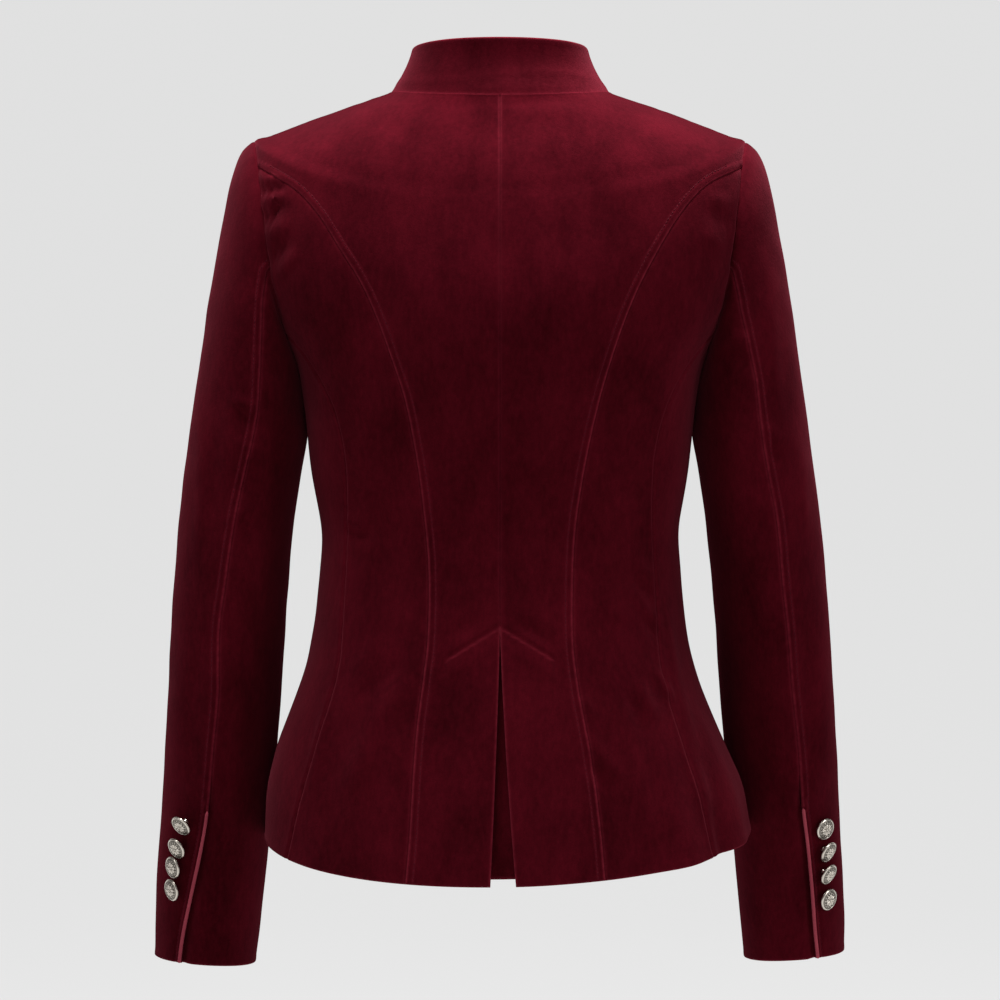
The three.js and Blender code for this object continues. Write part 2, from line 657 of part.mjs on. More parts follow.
// A point on a chain of corners, each with its key and point
function onChain(corners, key) {
  let i = 0;
  while (i < corners.length - 2 && key > corners[i + 1].key) i++;
  const [a, b] = [corners[i], corners[i + 1]];
  return a.point.clone().lerp(b.point, (key - a.key) / (b.key - a.key));
}

// The neck edge of the body's pieces
function neckChain() {
  const front = frontPlaces("right", bodySeams("right")).at(-1).map(([turn]) => turn);
  const half = [...steps(BACK_COLUMNS, (t) => t / 2), ...front.reverse().slice(1)];
  const turns = [...half.slice(1).map((turn) => -turn).reverse(), ...half];
  return turns.map((turn) => ({ key: turn, point: body(turn, NECK) }));
}

// A point of the collar's outer face, from its foot on the neck edge. turn goes round the neck
// and height from 0 to 1.
function collar(foot, turn, height) {
  const point = foot.clone().lerp(onRing(COLLAR_TOP, turn), height);
  const outward = point.clone().sub(new THREE.Vector3(0, COLLAR_TOP.sideY, point.z)).normalize();
  return point.addScaledVector(outward, -COLLAR_HOLLOW * Math.sin(Math.PI * height));
}

function buildCollar() {
  const chain = neckChain();
  const perTurn = centreScale(NECK);
  const end = 1 - COLLAR_FRONT_GAP / perTurn;
  const corner = COLLAR_CORNER_COLUMNS.map((share) => end - (share * COLLAR_CORNER) / perTurn);
  const clear = corner.at(-1) - COLLAR_CORNER_CLEAR;
  const inner = chain.map(({ key }) => key).filter((turn) => Math.abs(turn) < clear);
  const turns = [...corner.map((turn) => -turn), ...inner, ...corner.reverse()];
  const places = steps(COLLAR_ROWS, (t) =>
    turns.map((turn) => {
      const toEnd = (end - Math.abs(turn)) * perTurn;
      const inCorner = Math.max(0, 1 - toEnd / COLLAR_CORNER);
      const cut = ((1 - Math.sqrt(1 - inCorner ** 2)) * COLLAR_CORNER) / COLLAR_HEIGHT;
      return [turn, lerp((2 * SEAM_GAP) / COLLAR_HEIGHT, 1 - cut, t)];
    }),
  );
  const point = ([turn, height]) => collar(onChain(chain, turn), turn, height);
  const surface = places.map((row) => row.map(point));
  const smooth = (turn, height) => collar(body(turn, NECK), turn, height);
  const normals = places.map((row) => row.map((place) => normalOf(smooth, ...place, 1e-3, 1e-2)));
  addCloth("collar", surface, normals, undefined, COLLAR_CLOTH);
}

// How far out the body's armhole lies from the centre, by the angle from its top
const edgeX = Object.fromEntries(
  Object.keys(SIDES).map((side) => {
    const distance = (at) => Math.abs(body(...armholePlace(side, at)).x);
    const rows = angles(-180, 180, EDGE_SAMPLES).map((at) => ({ at, x: distance(at) }));
    return [side, curve(rows, "x")];
  }),
);
const wrapped = (degrees) => THREE.MathUtils.euclideanModulo(degrees + 180, 360) - 180;

// The outer surface of a sleeve. turn is in degrees from the outer line towards the back.
function sleeve(side, turn, at) {
  const angle = radians(turn);
  const across = (1 + Math.cos(angle)) / 2;
  const stray = edgeX[side](wrapped(turn)) - lerp(SLEEVE[0].inX, SLEEVE[0].outX, across);
  const fade = Math.max(0, 1 - at / CAP_FADE) ** 2;
  const tuck = side === "left" ? sleeveAt.tuck(at) : 0;
  return new THREE.Vector3(
    SIDES[side] * (lerp(sleeveAt.inX(at), sleeveAt.outX(at), across) + stray * fade - tuck),
    sleeveAt[side + "Y"](at) - sleeveAt.deep(at) * Math.sin(angle),
    lerp(sleeveAt.inZ(at), sleeveAt.outZ(at), across),
  );
}

function sleeveNormal(side, turn, at) {
  const [stepTurn, stepAt] = [0.3, 0.5];
  const normal = normalOf((p, q) => sleeve(side, p, q), turn, Math.max(at, stepAt), stepTurn, stepAt);
  return side === "left" ? normal.negate() : normal;
}

const VENT_START = SLEEVE_LENGTH - CUFF_VENT_LENGTH;
const LAP_START = VENT_START + LAP_DELAY;
// The rings of a sleeve's rows, closer together on the cap
const ARM_RINGS = steps(ARM_ROWS, (t) => VENT_START * lerp(t * t, t, EVEN_SHARE));
const CUFF_RINGS = steps(CUFF_ROWS, (t) => lerp(LAP_START, SLEEVE_LENGTH, t));
const SLEEVE_RINGS = [...ARM_RINGS, ...CUFF_RINGS];
const degreesFor = (millimetres, at) => THREE.MathUtils.radToDeg(millimetres / sleeveAt.deep(at));

// A sleeve piece, whose first row lies on the corners of the armhole. turnsAt gives the angles of
// its columns on a ring.
function addSleevePiece(name, side, turnsAt, dip = () => 0) {
  const places = SLEEVE_RINGS.map((at) => turnsAt(at).map((turn) => [turn, at]));
  const normals = places.map((row) => row.map((place) => sleeveNormal(side, ...place)));
  const surface = places.map((row) => row.map((place) => sleeve(side, ...place)));
  surface[0] = places[0].map(([turn]) => {
    const clear = bodyNormal(...armholePlace(side, wrapped(turn))).multiplyScalar(SEAM_GAP);
    return armholePoint(side, turn).add(clear);
  });
  return addCloth(name, surface, normals, (i, j) => dip(...places[i][j]));
}

// A point on the straight edges of the body's pieces round the armhole
function armholePoint(side, turn) {
  const corners = [...new Set([...UNDER_SLEEVE_ANGLES, ...TOP_SLEEVE_ANGLES].map(wrapped))];
  const sorted = corners.sort((a, b) => a - b);
  const chain = [sorted.at(-1) - 360, ...sorted, sorted[0] + 360].map((key) => ({
    key,
    point: body(...armholePlace(side, wrapped(key))),
  }));
  return onChain(chain, wrapped(turn));
}

// The angle at which a ring of the sleeve crosses the sleeve's back seam
function sleeveSeam(side) {
  const x = curve(SLEEVE_BACK_SEAM, side, "z");
  return (at) => {
    let near = SEAM_NEAR;
    let far = SEAM_FAR;
    for (let i = 0; i < 30; i++) {
      const middle = (near + far) / 2;
      const point = sleeve(side, middle, at);
      if (Math.abs(point.x) > x(point.z)) near = middle;
      else far = middle;
    }
    return lerp(SLEEVE_BACK_ANGLE, near, smoothstep(at, 0, CAP_FADE / 2));
  };
}

function buildSleeve(side) {
  const backSeam = sleeveSeam(side);
  const spread = (list, from, to) => {
    const share = (angle) => (angle - list[0]) / (list.at(-1) - list[0]);
    return list.map((angle) => lerp(from, to, share(angle)));
  };
  const top = addSleevePiece("sleeve_top_" + side, side, (at) =>
    spread(TOP_SLEEVE_ANGLES, backSeam(at), SLEEVE_FRONT_ANGLE),
  );
  const lapped = (at) => (at < LAP_START ? 0 : 1);
  const underTurns = (at) => {
    const start = backSeam(at) - degreesFor(lapped(at) * UNDERLAP, at);
    const edge = backSeam(at) + degreesFor(lapped(at) ? LAP_EDGE : UNDERLAP_RAMP / 2, at);
    const ramp = backSeam(at) + degreesFor(UNDERLAP_RAMP, at);
    const others = spread(UNDER_SLEEVE_ANGLES, backSeam(at), SLEEVE_FRONT_ANGLE + 360);
    return [start, edge, ramp, ...others.slice(1)];
  };
  const dip = (turn, at) => {
    const past = (turn - backSeam(at)) / degreesFor(1, at);
    const deep = smoothstep(at, VENT_START - DIP_LENGTH, VENT_START);
    return deep * (CLOTH + LAYER_GAP) * (1 - smoothstep(past, LAP_EDGE, UNDERLAP_RAMP));
  };
  addSleevePiece("sleeve_under_" + side, side, underTurns, dip);
  buildPiping(side, backSeam);
  CUFF_BUTTONS[side].forEach(({ x, z, roll, nod }, i) => {
    const miss = (point) => [Math.abs(point.x) - x, point.z - z];
    const guess = [CUFF_BUTTON_TURN, -z - CUFF_BUTTON_RING];
    const place = solve((turn, at) => sleeve(side, turn, at), guess, miss);
    const name = `cuff_button_${side}_${i + 1}`;
    const lean = [nod, roll * SIDES[side]];
    buildButton(name, top, sleeve(side, ...place), sleeveNormal(side, ...place), lean);
  });
}

// Piping on the edge of the cuff vent: a low bead on the top sleeve
function buildPiping(side, backSeam) {
  const bead = CUFF_RINGS.map((at) =>
    Array.from({ length: PIPING_SIDES }, (_, k) => {
      const angle = (k / PIPING_SIDES) * 2 * Math.PI;
      const across = ((1 + Math.cos(angle)) / 2) * PIPING_WIDTH + SEAM_GAP;
      const up = SEAM_GAP + (PIPING_RISE * (1 + Math.sin(angle))) / 2;
      const turn = backSeam(at) - degreesFor(across, at);
      return sleeve(side, turn, at).addScaledVector(sleeveNormal(side, turn, at), up);
    }),
  );
  add("cuff_piping_" + side, tube(bead), PIPING);
}

// A closed tube through rings of points, with flat ends
function tube(rings) {
  const triangles = [];
  const sides = rings[0].length;
  for (let i = 0; i + 1 < rings.length; i++)
    for (let k = 0; k < sides; k++) {
      const next = (k + 1) % sides;
      triangles.push(rings[i][k], rings[i][next], rings[i + 1][next]);
      triangles.push(rings[i][k], rings[i + 1][next], rings[i + 1][k]);
    }
  for (let k = 1; k + 1 < sides; k++) {
    triangles.push(rings[0][0], rings[0][k + 1], rings[0][k]);
    triangles.push(rings.at(-1)[0], rings.at(-1)[k], rings.at(-1)[k + 1]);
  }
  return closed(triangles);
}

// A domed metal button on a shank, standing on a piece of cloth. lean tips it by so many degrees
// about the X and Z axes.
function buildButton(name, cloth, place, normal, lean = [0, 0]) {
  const high = place.clone().addScaledVector(normal, BUTTON_RADIUS);
  const foot = new THREE.Raycaster(high, normal.clone().negate()).intersectObject(cloth)[0].point;
  const tipped = normal.clone().applyEuler(new THREE.Euler(radians(lean[0]), 0, radians(lean[1])));
  const slope = Math.sin(tipped.angleTo(normal));
  const shank = SEAM_GAP + BUTTON_SHANK_RADIUS * slope;
  const disc = BUTTON_STANDOFF + BUTTON_RADIUS * slope;
  const profile = [
    [0, shank],
    [BUTTON_SHANK_RADIUS, shank],
    [BUTTON_SHANK_RADIUS, disc],
    [BUTTON_RADIUS - BUTTON_ROUND, disc],
    [BUTTON_RADIUS, disc + BUTTON_RIM / 2],
    [BUTTON_RADIUS - BUTTON_ROUND, disc + BUTTON_RIM],
    [BUTTON_BEND.radius, disc + BUTTON_BEND.height],
    [0, disc + BUTTON_DOME],
  ].map(([r, h]) => new THREE.Vector2(r, h));
  const mesh = add(name, new THREE.LatheGeometry(profile, BUTTON_SEGMENTS), SILVER);
  mesh.quaternion.setFromUnitVectors(new THREE.Vector3(0, 1, 0), tipped);
  mesh.position.copy(foot);
}

function buildFrontButtons(front) {
  for (let i = 0; i < FRONT_BUTTONS; i++) {
    const z = FRONT_BUTTON_TOP - i * FRONT_BUTTON_STEP;
    const guess = [1 - FRONT_BUTTON_X / centreScale(z), z];
    const place = solve(body, guess, (point) => [point.x - FRONT_BUTTON_X, point.z - z]);
    buildButton(`front_button_${i + 1}`, front, body(...place), bodyNormal(...place));
  }
}

buildBody("left");
const rightFront = buildBody("right");
buildUnderlay();
buildCollar();
Object.keys(SIDES).forEach(buildSleeve);
buildFrontButtons(rightFront);

export default jacket;
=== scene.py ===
# A fitted burgundy velvet jacket in traditional Alpine style, seen from behind and hollow as when
# worn. Lengths are in millimetres until a mesh is made, which is in metres.
import math
from functools import partial

import bmesh
import bpy
import numpy as np
from mathutils import Euler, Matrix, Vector


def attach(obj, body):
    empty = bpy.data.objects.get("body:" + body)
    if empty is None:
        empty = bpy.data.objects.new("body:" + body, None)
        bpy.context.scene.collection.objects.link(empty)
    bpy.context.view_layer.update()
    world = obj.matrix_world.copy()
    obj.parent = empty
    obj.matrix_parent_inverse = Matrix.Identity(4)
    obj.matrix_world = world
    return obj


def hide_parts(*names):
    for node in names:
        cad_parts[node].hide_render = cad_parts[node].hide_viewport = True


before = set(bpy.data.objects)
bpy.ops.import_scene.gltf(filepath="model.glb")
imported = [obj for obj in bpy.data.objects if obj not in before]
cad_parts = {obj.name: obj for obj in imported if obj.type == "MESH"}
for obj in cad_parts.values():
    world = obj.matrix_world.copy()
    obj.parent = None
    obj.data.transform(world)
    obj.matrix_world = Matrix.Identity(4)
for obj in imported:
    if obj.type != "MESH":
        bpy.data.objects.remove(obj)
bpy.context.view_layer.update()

METRE = 0.001

# Cloth
CLOTH = 2.0
COLLAR_CLOTH = 2.6
LAYER_GAP = 0.8
EDGE_ROUND = 1.1  # how far a folded edge curves in
STITCH_LINE = 5.5  # from a seam to its topstitching

# Body
HEM = -560
ARMPIT = -203
SHOULDER_TIP = -37.5
NECK = 73
RING_LIFT_POWER = 1.5
ARMHOLE_Y = 2.5
ARMHOLE_Z = (ARMPIT + SHOULDER_TIP) / 2
ARMHOLE_HALF_DEPTH = 57
ARMHOLE_HALF_HEIGHT = (SHOULDER_TIP - ARMPIT) / 2
BACK_PRINCESS_ANGLE = 44
SIDE_SEAM_ANGLE = 138
FRONT_PRINCESS_ANGLE = -78
BACK_JOIN = 18
FRONT_JOIN = -20

# Front closing, back vent and its underlay
FRONT_OVERLAP = 15
OVERLAP_RAMP = 18
FRONT_BUTTON_TOP = -118
FRONT_BUTTON_STEP = 62
FRONT_BUTTONS = 5
VENT_TOP = -401
VENT_GAP = {"left": 7, "right": 10.5}
VENT_SPREAD = 1.3
CHEVRON_DROP = 23
CHEVRON_REACH = 38
UNDERLAY_REACH = 44
UNDERLAY_SHORT = 5

# Collar
COLLAR_FRONT_GAP = 5
COLLAR_HOLLOW = 1.8
COLLAR_HEIGHT = 42
COLLAR_CORNER = 22
COLLAR_SUNK = 1.4  # its foot goes in behind the neck edge

# Sleeves
SLEEVE_LENGTH = 645
CUFF_VENT_LENGTH = 124
VENT_START = SLEEVE_LENGTH - CUFF_VENT_LENGTH
UNDERLAP = 20
UNDERLAP_RAMP = 9
DIP_LENGTH = 30
CAP_FADE = 70
SEAM_TUCK = 0.9  # how far the sleeve's edge goes in under the armhole's
SLEEVE_BACK_ANGLE = 100.4
SLEEVE_FRONT_ANGLE = -114
PIPING_WIDTH = 2.8
PIPING_RISE = 1.5

# Buttons
BUTTON_RADIUS = 8.3
BUTTON_DOME = 3.6
BUTTON_RIM = 1.3
BUTTON_STANDOFF = 1.2
BUTTON_SHANK_RADIUS = 2.2
BUTTONHOLE = 17


def table(names, rows):
    """The rows' columns by name."""
    return {name: np.array(column, float) for name, column in zip(names.split(), zip(*rows))}


BODY = table(
    "at wide flare side_y side_z back_y back_z front_y front_z lift full",
    [
        (-560, 175, 12, -18, -554, -125, -582, 113, -574, 3.4, 0.12),
        (-520, 173, 7, -15, -517, -119, -536, 111, -530, 2.2, 0.12),
        (-486, 166, 1, -11, -486, -113, -495, 109, -491, 1, 0.12),
        (-456, 154.5, 0, -8, -456, -107, -460, 106, -458, 0, 0.12),
        (-426, 144.3, 0, -6, -426, -100, -427, 103, -426, 0, 0.13),
        (-396, 138.5, 0, -4, -396, -93, -396, 100, -396, 0, 0.14),
        (-360, 135, 0, -3, -360, -88, -360, 99, -360, 0, 0.15),
        (-328, 133.5, 0, -3, -328, -88, -328, 102, -328, 0, 0.15),
        (-283, 141, 0, -4, -283, -94, -283, 114, -283, 0, 0.16),
        (-238, 146, 0, -2, -238, -102, -239, 125, -240, 0, 0.17),
        (ARMPIT, 153, 0, 2.5, ARMPIT, -107, -208, 126, -213, 0, 0.17),
        (-165, 171, 0, 2.5, -165, -109, -180, 124, -193, 0, 0.16),
        (-125, 184, 0, 2.5, -125, -109, -154, 119, -175, 0, 0.15),
        (-80, 190, 0, 2.5, -80, -106, -126, 110, -156, 0, 0.14),
        (SHOULDER_TIP, 184.5, 0, 2.5, -37.5, -99, -92, 98, -134, 0, 0.12),
        (-24, 172.5, 0, 3, -33.1, -96, -81.5, 95, -127.5, 0, 0.115),
        (-10, 161, 0, 3.5, -28.6, -93, -71, 92, -121, 0, 0.11),
        (18, 134, 0, 5, -18.5, -84, -50, 84, -108, 0, 0.1),
        (NECK, 82, 0, 8, 0, -60, -8.5, 66, -80, 0, 0.08),
    ],
)
COLLAR_TOP = dict(
    wide=65.5, flare=0, side_y=6, side_z=33, back_y=-57, back_z=33.6,
    front_y=57, front_z=-40, lift=0, full=0.08,
)

# Soft folds that run down the body, as in the solids: from one ring to a lower one, and from one
# place round the ring to another, in turns from the centre back
BODY_FOLDS = table(
    "top foot around ends width rise",
    [
        (-400, -560, 0.16, 0.235, 0.036, 4),
        (-425, -560, 0.305, 0.315, 0.014, -2.4),
        (-410, -560, 0.35, 0.37, 0.035, 3.4),
        (-400, -560, 0.02, 0.03, 0.04, 1.6),
        (-410, -560, 0.66, 0.7, 0.04, 3),
        (-430, -560, 0.83, 0.86, 0.035, 2.4),
    ],
)

# Distances of the seams from the body's centre, at each height
BACK_PRINCESS = table(
    "z left right",
    [
        (-580, 67.9, 75.8), (-545, 65, 72.8), (-505, 62.9, 68), (-470, 60.2, 62), (-440, 56.3, 56.6),
        (-408, 52.8, 53.2), (-358, 52.1, 53.3), (-322, 54.9, 55.6), (-290, 58.6, 60.4), (-260, 63.4, 66.2),
        (-232, 69.5, 73), (-205, 78.8, 81.2), (-178, 88.5, 90.3), (-150, 100.7, 101.8),
        (-122, 117.8, 116.5), (-100, 131.5, 130), (-82, 147, 144.6), (-72, 160.5, 157),
    ],
)
SIDE_SEAM = table(
    "z both",
    [
        (-567, 155.5), (-526, 146), (-482, 132.8), (-453, 124.3), (-423, 117.7), (-379, 114.8),
        (-317, 112.2), (-277, 113.5), (-250, 118.5), (-225, 128), (-200, 143.5),
    ],
)
FRONT_PRINCESS = table(
    "z both",
    [
        (-573, 84), (-486, 72), (-430, 64), (-380, 59), (-328, 60), (-283, 67), (-240, 77), (-205, 87),
        (-175, 100), (-145, 121), (-122, 145),
    ],
)
SLEEVE = table(
    "at in_x in_z out_x out_z left_y right_y tuck deep",
    [
        (0, 153, ARMPIT, 184.5, SHOULDER_TIP, 2.5, 2.5, 0, 57),
        (12, 151.8, -207, 193, -45, 2.5, 2.5, 0, 57.5),
        (30, 149.6, -212, 199.5, -60, 2.5, 3, 0, 58),
        (60, 147.4, -219, 206, -88, 3, 4, 0, 58.5),
        (100, 146.2, -229, 213.5, -127, 4, 5, 0, 59),
        (140, 145.3, -241, 220, -167, 5, 6.5, 0, 59),
        (180, 144.6, -256, 225.8, -206, 6, 8, 0, 58.5),
        (230, 149, -282, 232.8, -255, 7, 10, 0, 57),
        (290, 155.4, -325, 240, -314, 9, 13, 0, 54.5),
        (350, 160.9, -377, 246, -371, 11, 18, 0.8, 52),
        (430, 166.8, -452, 252, -446, 15, 27, 1.8, 50),
        (520, 175.2, -537, 258, -531, 21, 42, 2.6, 47.5),
        (590, 181.2, -603, 262.4, -597, 27, 51, 2.2, 45),
        (SLEEVE_LENGTH, 187, -656.5, 263.8, -650.5, 31, 57, 1.8, 43),
    ],
)
SLEEVE_BACK_SEAM = table(
    "z left right",
    [
        (-660, 240, 240.2), (-632, 236, 236.8), (-602, 229.6, 234.2), (-565, 221.4, 230.2),
        (-537, 216.6, 226.4), (-491, 212, 222.5), (-450, 208, 217.5), (-403, 207, 213), (-366, 202, 208.5),
        (-321, 195, 204), (-284, 187, 197), (-246, 178.5, 191), (-216, 176, 187.5), (-186, 174.8, 181),
        (-162, 174, 175.8), (-140, 173, 174),
    ],
)
CUFF_BUTTONS = {
    "left": table(
        "x z roll nod",
        [(233.6, -545, 5, 34), (237.6, -563.5, 7, 24), (241, -579.4, 12, 9), (241.8, -596.2, 14, 9)],
    ),
    "right": table(
        "x z roll nod",
        [(242.4, -552.6, -2, 12), (243.2, -568.6, 9, 27), (243.6, -585.6, 9, 27), (245.6, -606.6, 5, 10)],
    ),
}

SIDES = {"left": -1, "right": 1}


def lerp(a, b, t):
    return a + (b - a) * t


def smoothstep(x, a, b):
    t = np.clip((x - a) / (b - a), 0, 1)
    return t * t * (3 - 2 * t)


def bump(x, wide):
    """A soft hump, 1 high at x = 0 and gone two widths away."""
    return np.exp(-((x / wide) ** 2))


def curve(x, y):
    """A smooth function through points."""
    slope = np.zeros(len(x))
    slope[1:-1] = (y[2:] - y[:-2]) / (x[2:] - x[:-2])
    slope[0] = (y[1] - y[0]) / (x[1] - x[0])
    slope[-1] = (y[-1] - y[-2]) / (x[-1] - x[-2])

    def value(q):
        i = np.clip(np.searchsorted(x, q) - 1, 0, len(x) - 2)
        h = x[i + 1] - x[i]
        t = (q - x[i]) / h
        t2, t3 = t * t, t * t * t
        return (
            y[i] * (2 * t3 - 3 * t2 + 1)
            + slope[i] * h * (t3 - 2 * t2 + t)
            + y[i + 1] * (3 * t2 - 2 * t3)
            + slope[i + 1] * h * (t3 - t2)
        )

    return value


def curves(columns, key="at"):
    return {name: curve(columns[key], column) for name, column in columns.items() if name != key}


BODY_AT = curves(BODY)
SLEEVE_AT = curves(SLEEVE)


def vector(x, y, z):
    return np.stack(np.broadcast_arrays(x, y, z), -1).astype(float)


def unit(v):
    return v / np.maximum(np.linalg.norm(v, axis=-1, keepdims=True), 1e-9)


def waves(points, size, seed, count=7):
    """Soft unevenness from -1 to 1 whose humps are about that size, the same on each run."""
    random = np.random.default_rng(seed)
    total = 0
    for _ in range(count):
        direction = unit(random.normal(size=3)) * random.uniform(0.6, 1.5) * 3.1 / size
        total = total + np.sin(points @ direction + random.uniform(0, 2 * math.pi))
    return total / count**0.5 / 1.5


def on_ring(ring, turn):
    """A point on a closed ring. turn is 0 at the centre back, 0.5 at the right side, 1 at the front."""
    s, c = np.sin(turn * np.pi), np.cos(turn * np.pi)
    end_y = np.where(c > 0, ring["back_y"], ring["front_y"])
    end_z = np.where(c > 0, ring["back_z"], ring["front_z"])
    wide = ring["wide"] + np.where(s > 0, ring["flare"], 0)
    return vector(
        wide * s * (1 + ring["full"] * c * c),
        ring["side_y"] + (end_y - ring["side_y"]) * abs(c) * (1 + ring["full"] * s * s),
        ring["side_z"] + (end_z - ring["side_z"]) * abs(c) ** RING_LIFT_POWER + ring["lift"] * s,
    )


def centre_scale(at):
    return math.pi * BODY_AT["wide"](at) * (1 + BODY_AT["full"](at))


def fold_rise(turn, at):
    around = np.where(turn < -1, turn + 2, np.where(turn > 1, turn - 2, turn))
    total = 0
    for top, foot, start, ends, width, rise in zip(*BODY_FOLDS.values()):
        along = (at - top) / (foot - top)
        total = total + rise * smoothstep(along, 0, 1) * bump(around - lerp(start, ends, along), width)
    return total


def body(turn, at):
    """The body's outer surface."""
    turn, at = np.asarray(turn, float), np.asarray(at, float)
    ring = {name: value(at) for name, value in BODY_AT.items()}
    point = on_ring(ring, turn)
    outward = unit(vector(point[..., 0], point[..., 1] - ring["side_y"], 0))
    return point + outward * fold_rise(turn, at)[..., None]


def normal_of(surface, p, q, step_p, step_q):
    along_p = surface(p + step_p, q) - surface(p - step_p, q)
    along_q = surface(p, q + step_q) - surface(p, q - step_q)
    return unit(np.cross(along_p, along_q))


def body_normal(turn, at):
    return normal_of(body, turn, at, 1e-3, 0.2)


def solve(surface, p, q, miss):
    """The places on a surface where two measures of its points are zero, by Newton's method."""
    p, q = np.array(p, float), np.array(q, float)
    step_p, step_q = 1e-4, 1e-3
    for _ in range(12):
        a, b = miss(surface(p, q))
        a_p, b_p = miss(surface(p + step_p, q))
        a_q, b_q = miss(surface(p, q + step_q))
        ap, bp, aq, bq = (a_p - a) / step_p, (b_p - b) / step_p, (a_q - a) / step_q, (b_q - b) / step_q
        det = ap * bq - aq * bp
        p, q = p - (a * bq - b * aq) / det, q - (ap * b - bp * a) / det
    return np.stack([p, q], -1)


def place_on_body(x, z, face):
    reach = np.arcsin(np.minimum(abs(x) / (BODY_AT["wide"](z) * 1.05), 0.97)) / math.pi
    turn = (reach if face == "back" else 1 - reach) * np.sign(x)
    return solve(body, turn, z, lambda point: (point[..., 0] - x, point[..., 2] - z))


def place_on_hem(side, x, face):
    near, far = (0.0, 0.5) if face == "back" else (1.0, 0.5)
    for _ in range(40):
        middle = (near + far) / 2
        if abs(body(SIDES[side] * middle, HEM)[0]) < x:
            near = middle
        else:
            far = middle
    return np.array([SIDES[side] * near, HEM])


def armhole_place(side, degrees):
    """The place on the body's armhole at an angle from its top towards the back."""
    angle = np.radians(degrees)
    y = ARMHOLE_Y - ARMHOLE_HALF_DEPTH * np.sin(angle)
    z = ARMHOLE_Z + ARMHOLE_HALF_HEIGHT * np.cos(angle)
    start = SIDES[side] * (0.5 - 0.17 * np.sin(angle))
    return solve(body, start, z, lambda point: (point[..., 1] - y, point[..., 2] - z))


def lengths(points):
    steps = np.linalg.norm(np.diff(points, axis=0), axis=-1)
    return np.concatenate([[0], np.cumsum(steps)])


def resample(values, along, at):
    """Rows of values at new distances along a line."""
    return np.stack([np.interp(at, along, column) for column in values.T], -1)


def seam(side, columns, face, end_angle, shares):
    """Places along a seam from the hem to the armhole, at shares of its length."""
    out = columns[side] if side in columns else columns["both"]
    start = place_on_hem(side, out[0], face)
    end = armhole_place(side, end_angle)
    hem_z, end_point = body(*start)[2], body(*end)
    x = curve(np.append(columns["z"], end_point[2]), np.append(out, abs(end_point[0])))
    z = np.linspace(hem_z, end_point[2], 241)[1:-1]
    places = np.concatenate([[start], place_on_body(SIDES[side] * x(z), z, face), [end]])
    along = lengths(body(*places.T))
    return resample(places, along, shares * along[-1])


# Rows and columns lie close together beside seams and edges
NEAR = np.array([0, 0.45, 1, 1.7, 2.6, 3.7, 4.9, 5.5, 6.1, 7.2, 9, 11.5])


def stops(length, step, start=True, end=True):
    """Shares of a length, close together at its start and end."""
    head = NEAR if start else NEAR[:1]
    tail = length - (NEAR if end else NEAR[:1])[::-1]
    count = max(2, round((tail[0] - head[-1]) / step))
    return np.concatenate([head, np.linspace(head[-1], tail[0], count + 1)[1:-1], tail]) / length


def columns_for(width, step, fine=0.0):
    """Shares of each row's width, close together at both ends and over a fine part after the first."""
    near = NEAR * np.minimum(1, width / (2.5 * NEAR[-1]))[:, None]
    count = max(3, round((width.max() - 2 * NEAR[-1]) / step))
    inner = np.linspace(fine, 1, max(3, round(count * (1 - fine))) + 1)[:-1]
    if fine:
        inner = np.concatenate([np.linspace(0, fine, round(2 * count * fine) + 1)[:-1], inner])
    inner = inner[1:]
    middle = near[:, -1:] + (width[:, None] - 2 * near[:, -1:]) * inner
    return np.concatenate([near, middle, width[:, None] - near[:, ::-1]], 1) / width[:, None]


CHEVRON_ROWS = np.linspace(0.272, 0.36, 27)  # closer together, across the chevron
EVEN_ROWS = stops(350, 3.2)
BELOW_CHEVRON = EVEN_ROWS < CHEVRON_ROWS[0] - 0.002
ABOVE_CHEVRON = EVEN_ROWS > CHEVRON_ROWS[-1] + 0.002
HEM_TO_ARM = np.concatenate([EVEN_ROWS[BELOW_CHEVRON], CHEVRON_ROWS, EVEN_ROWS[ABOVE_CHEVRON]])
ARM_LOW = stops(62, 3.2, end=False)
ARM_HIGH = stops(70, 3.2, start=False)
SHOULDER = stops(110, 3.2, start=False)
LOW_SHARE = 5 / 25  # of the back's rows below the armhole's end that lie on the armhole
HEM_TO_PRINCESS = np.concatenate([HEM_TO_ARM * (1 - LOW_SHARE), 1 - LOW_SHARE + ARM_LOW[1:] * LOW_SHARE])
HIGH_SHARE = 4 / 9  # of the rows above, that lie on the armhole
TO_NECK = np.concatenate([ARM_HIGH[1:] * HIGH_SHARE, HIGH_SHARE + SHOULDER[1:] * (1 - HIGH_SHARE)])


def between(left, right, shares, arc=None):
    """A grid of places between two seams. arc gives the line that the last row follows."""
    places = left[:, None] + (right - left)[:, None] * shares[..., None]
    if arc is not None:
        weight = np.linspace(0, 1, len(left)) ** 4
        places = places + weight[:, None, None] * (arc(shares[-1]) - places[-1])
    return places


def widths(left, right):
    middle = body(*((left + right) / 2).T)
    a, b = body(*left.T), body(*right.T)
    return np.maximum(np.linalg.norm(a - middle, axis=1) + np.linalg.norm(b - middle, axis=1), 0.05)


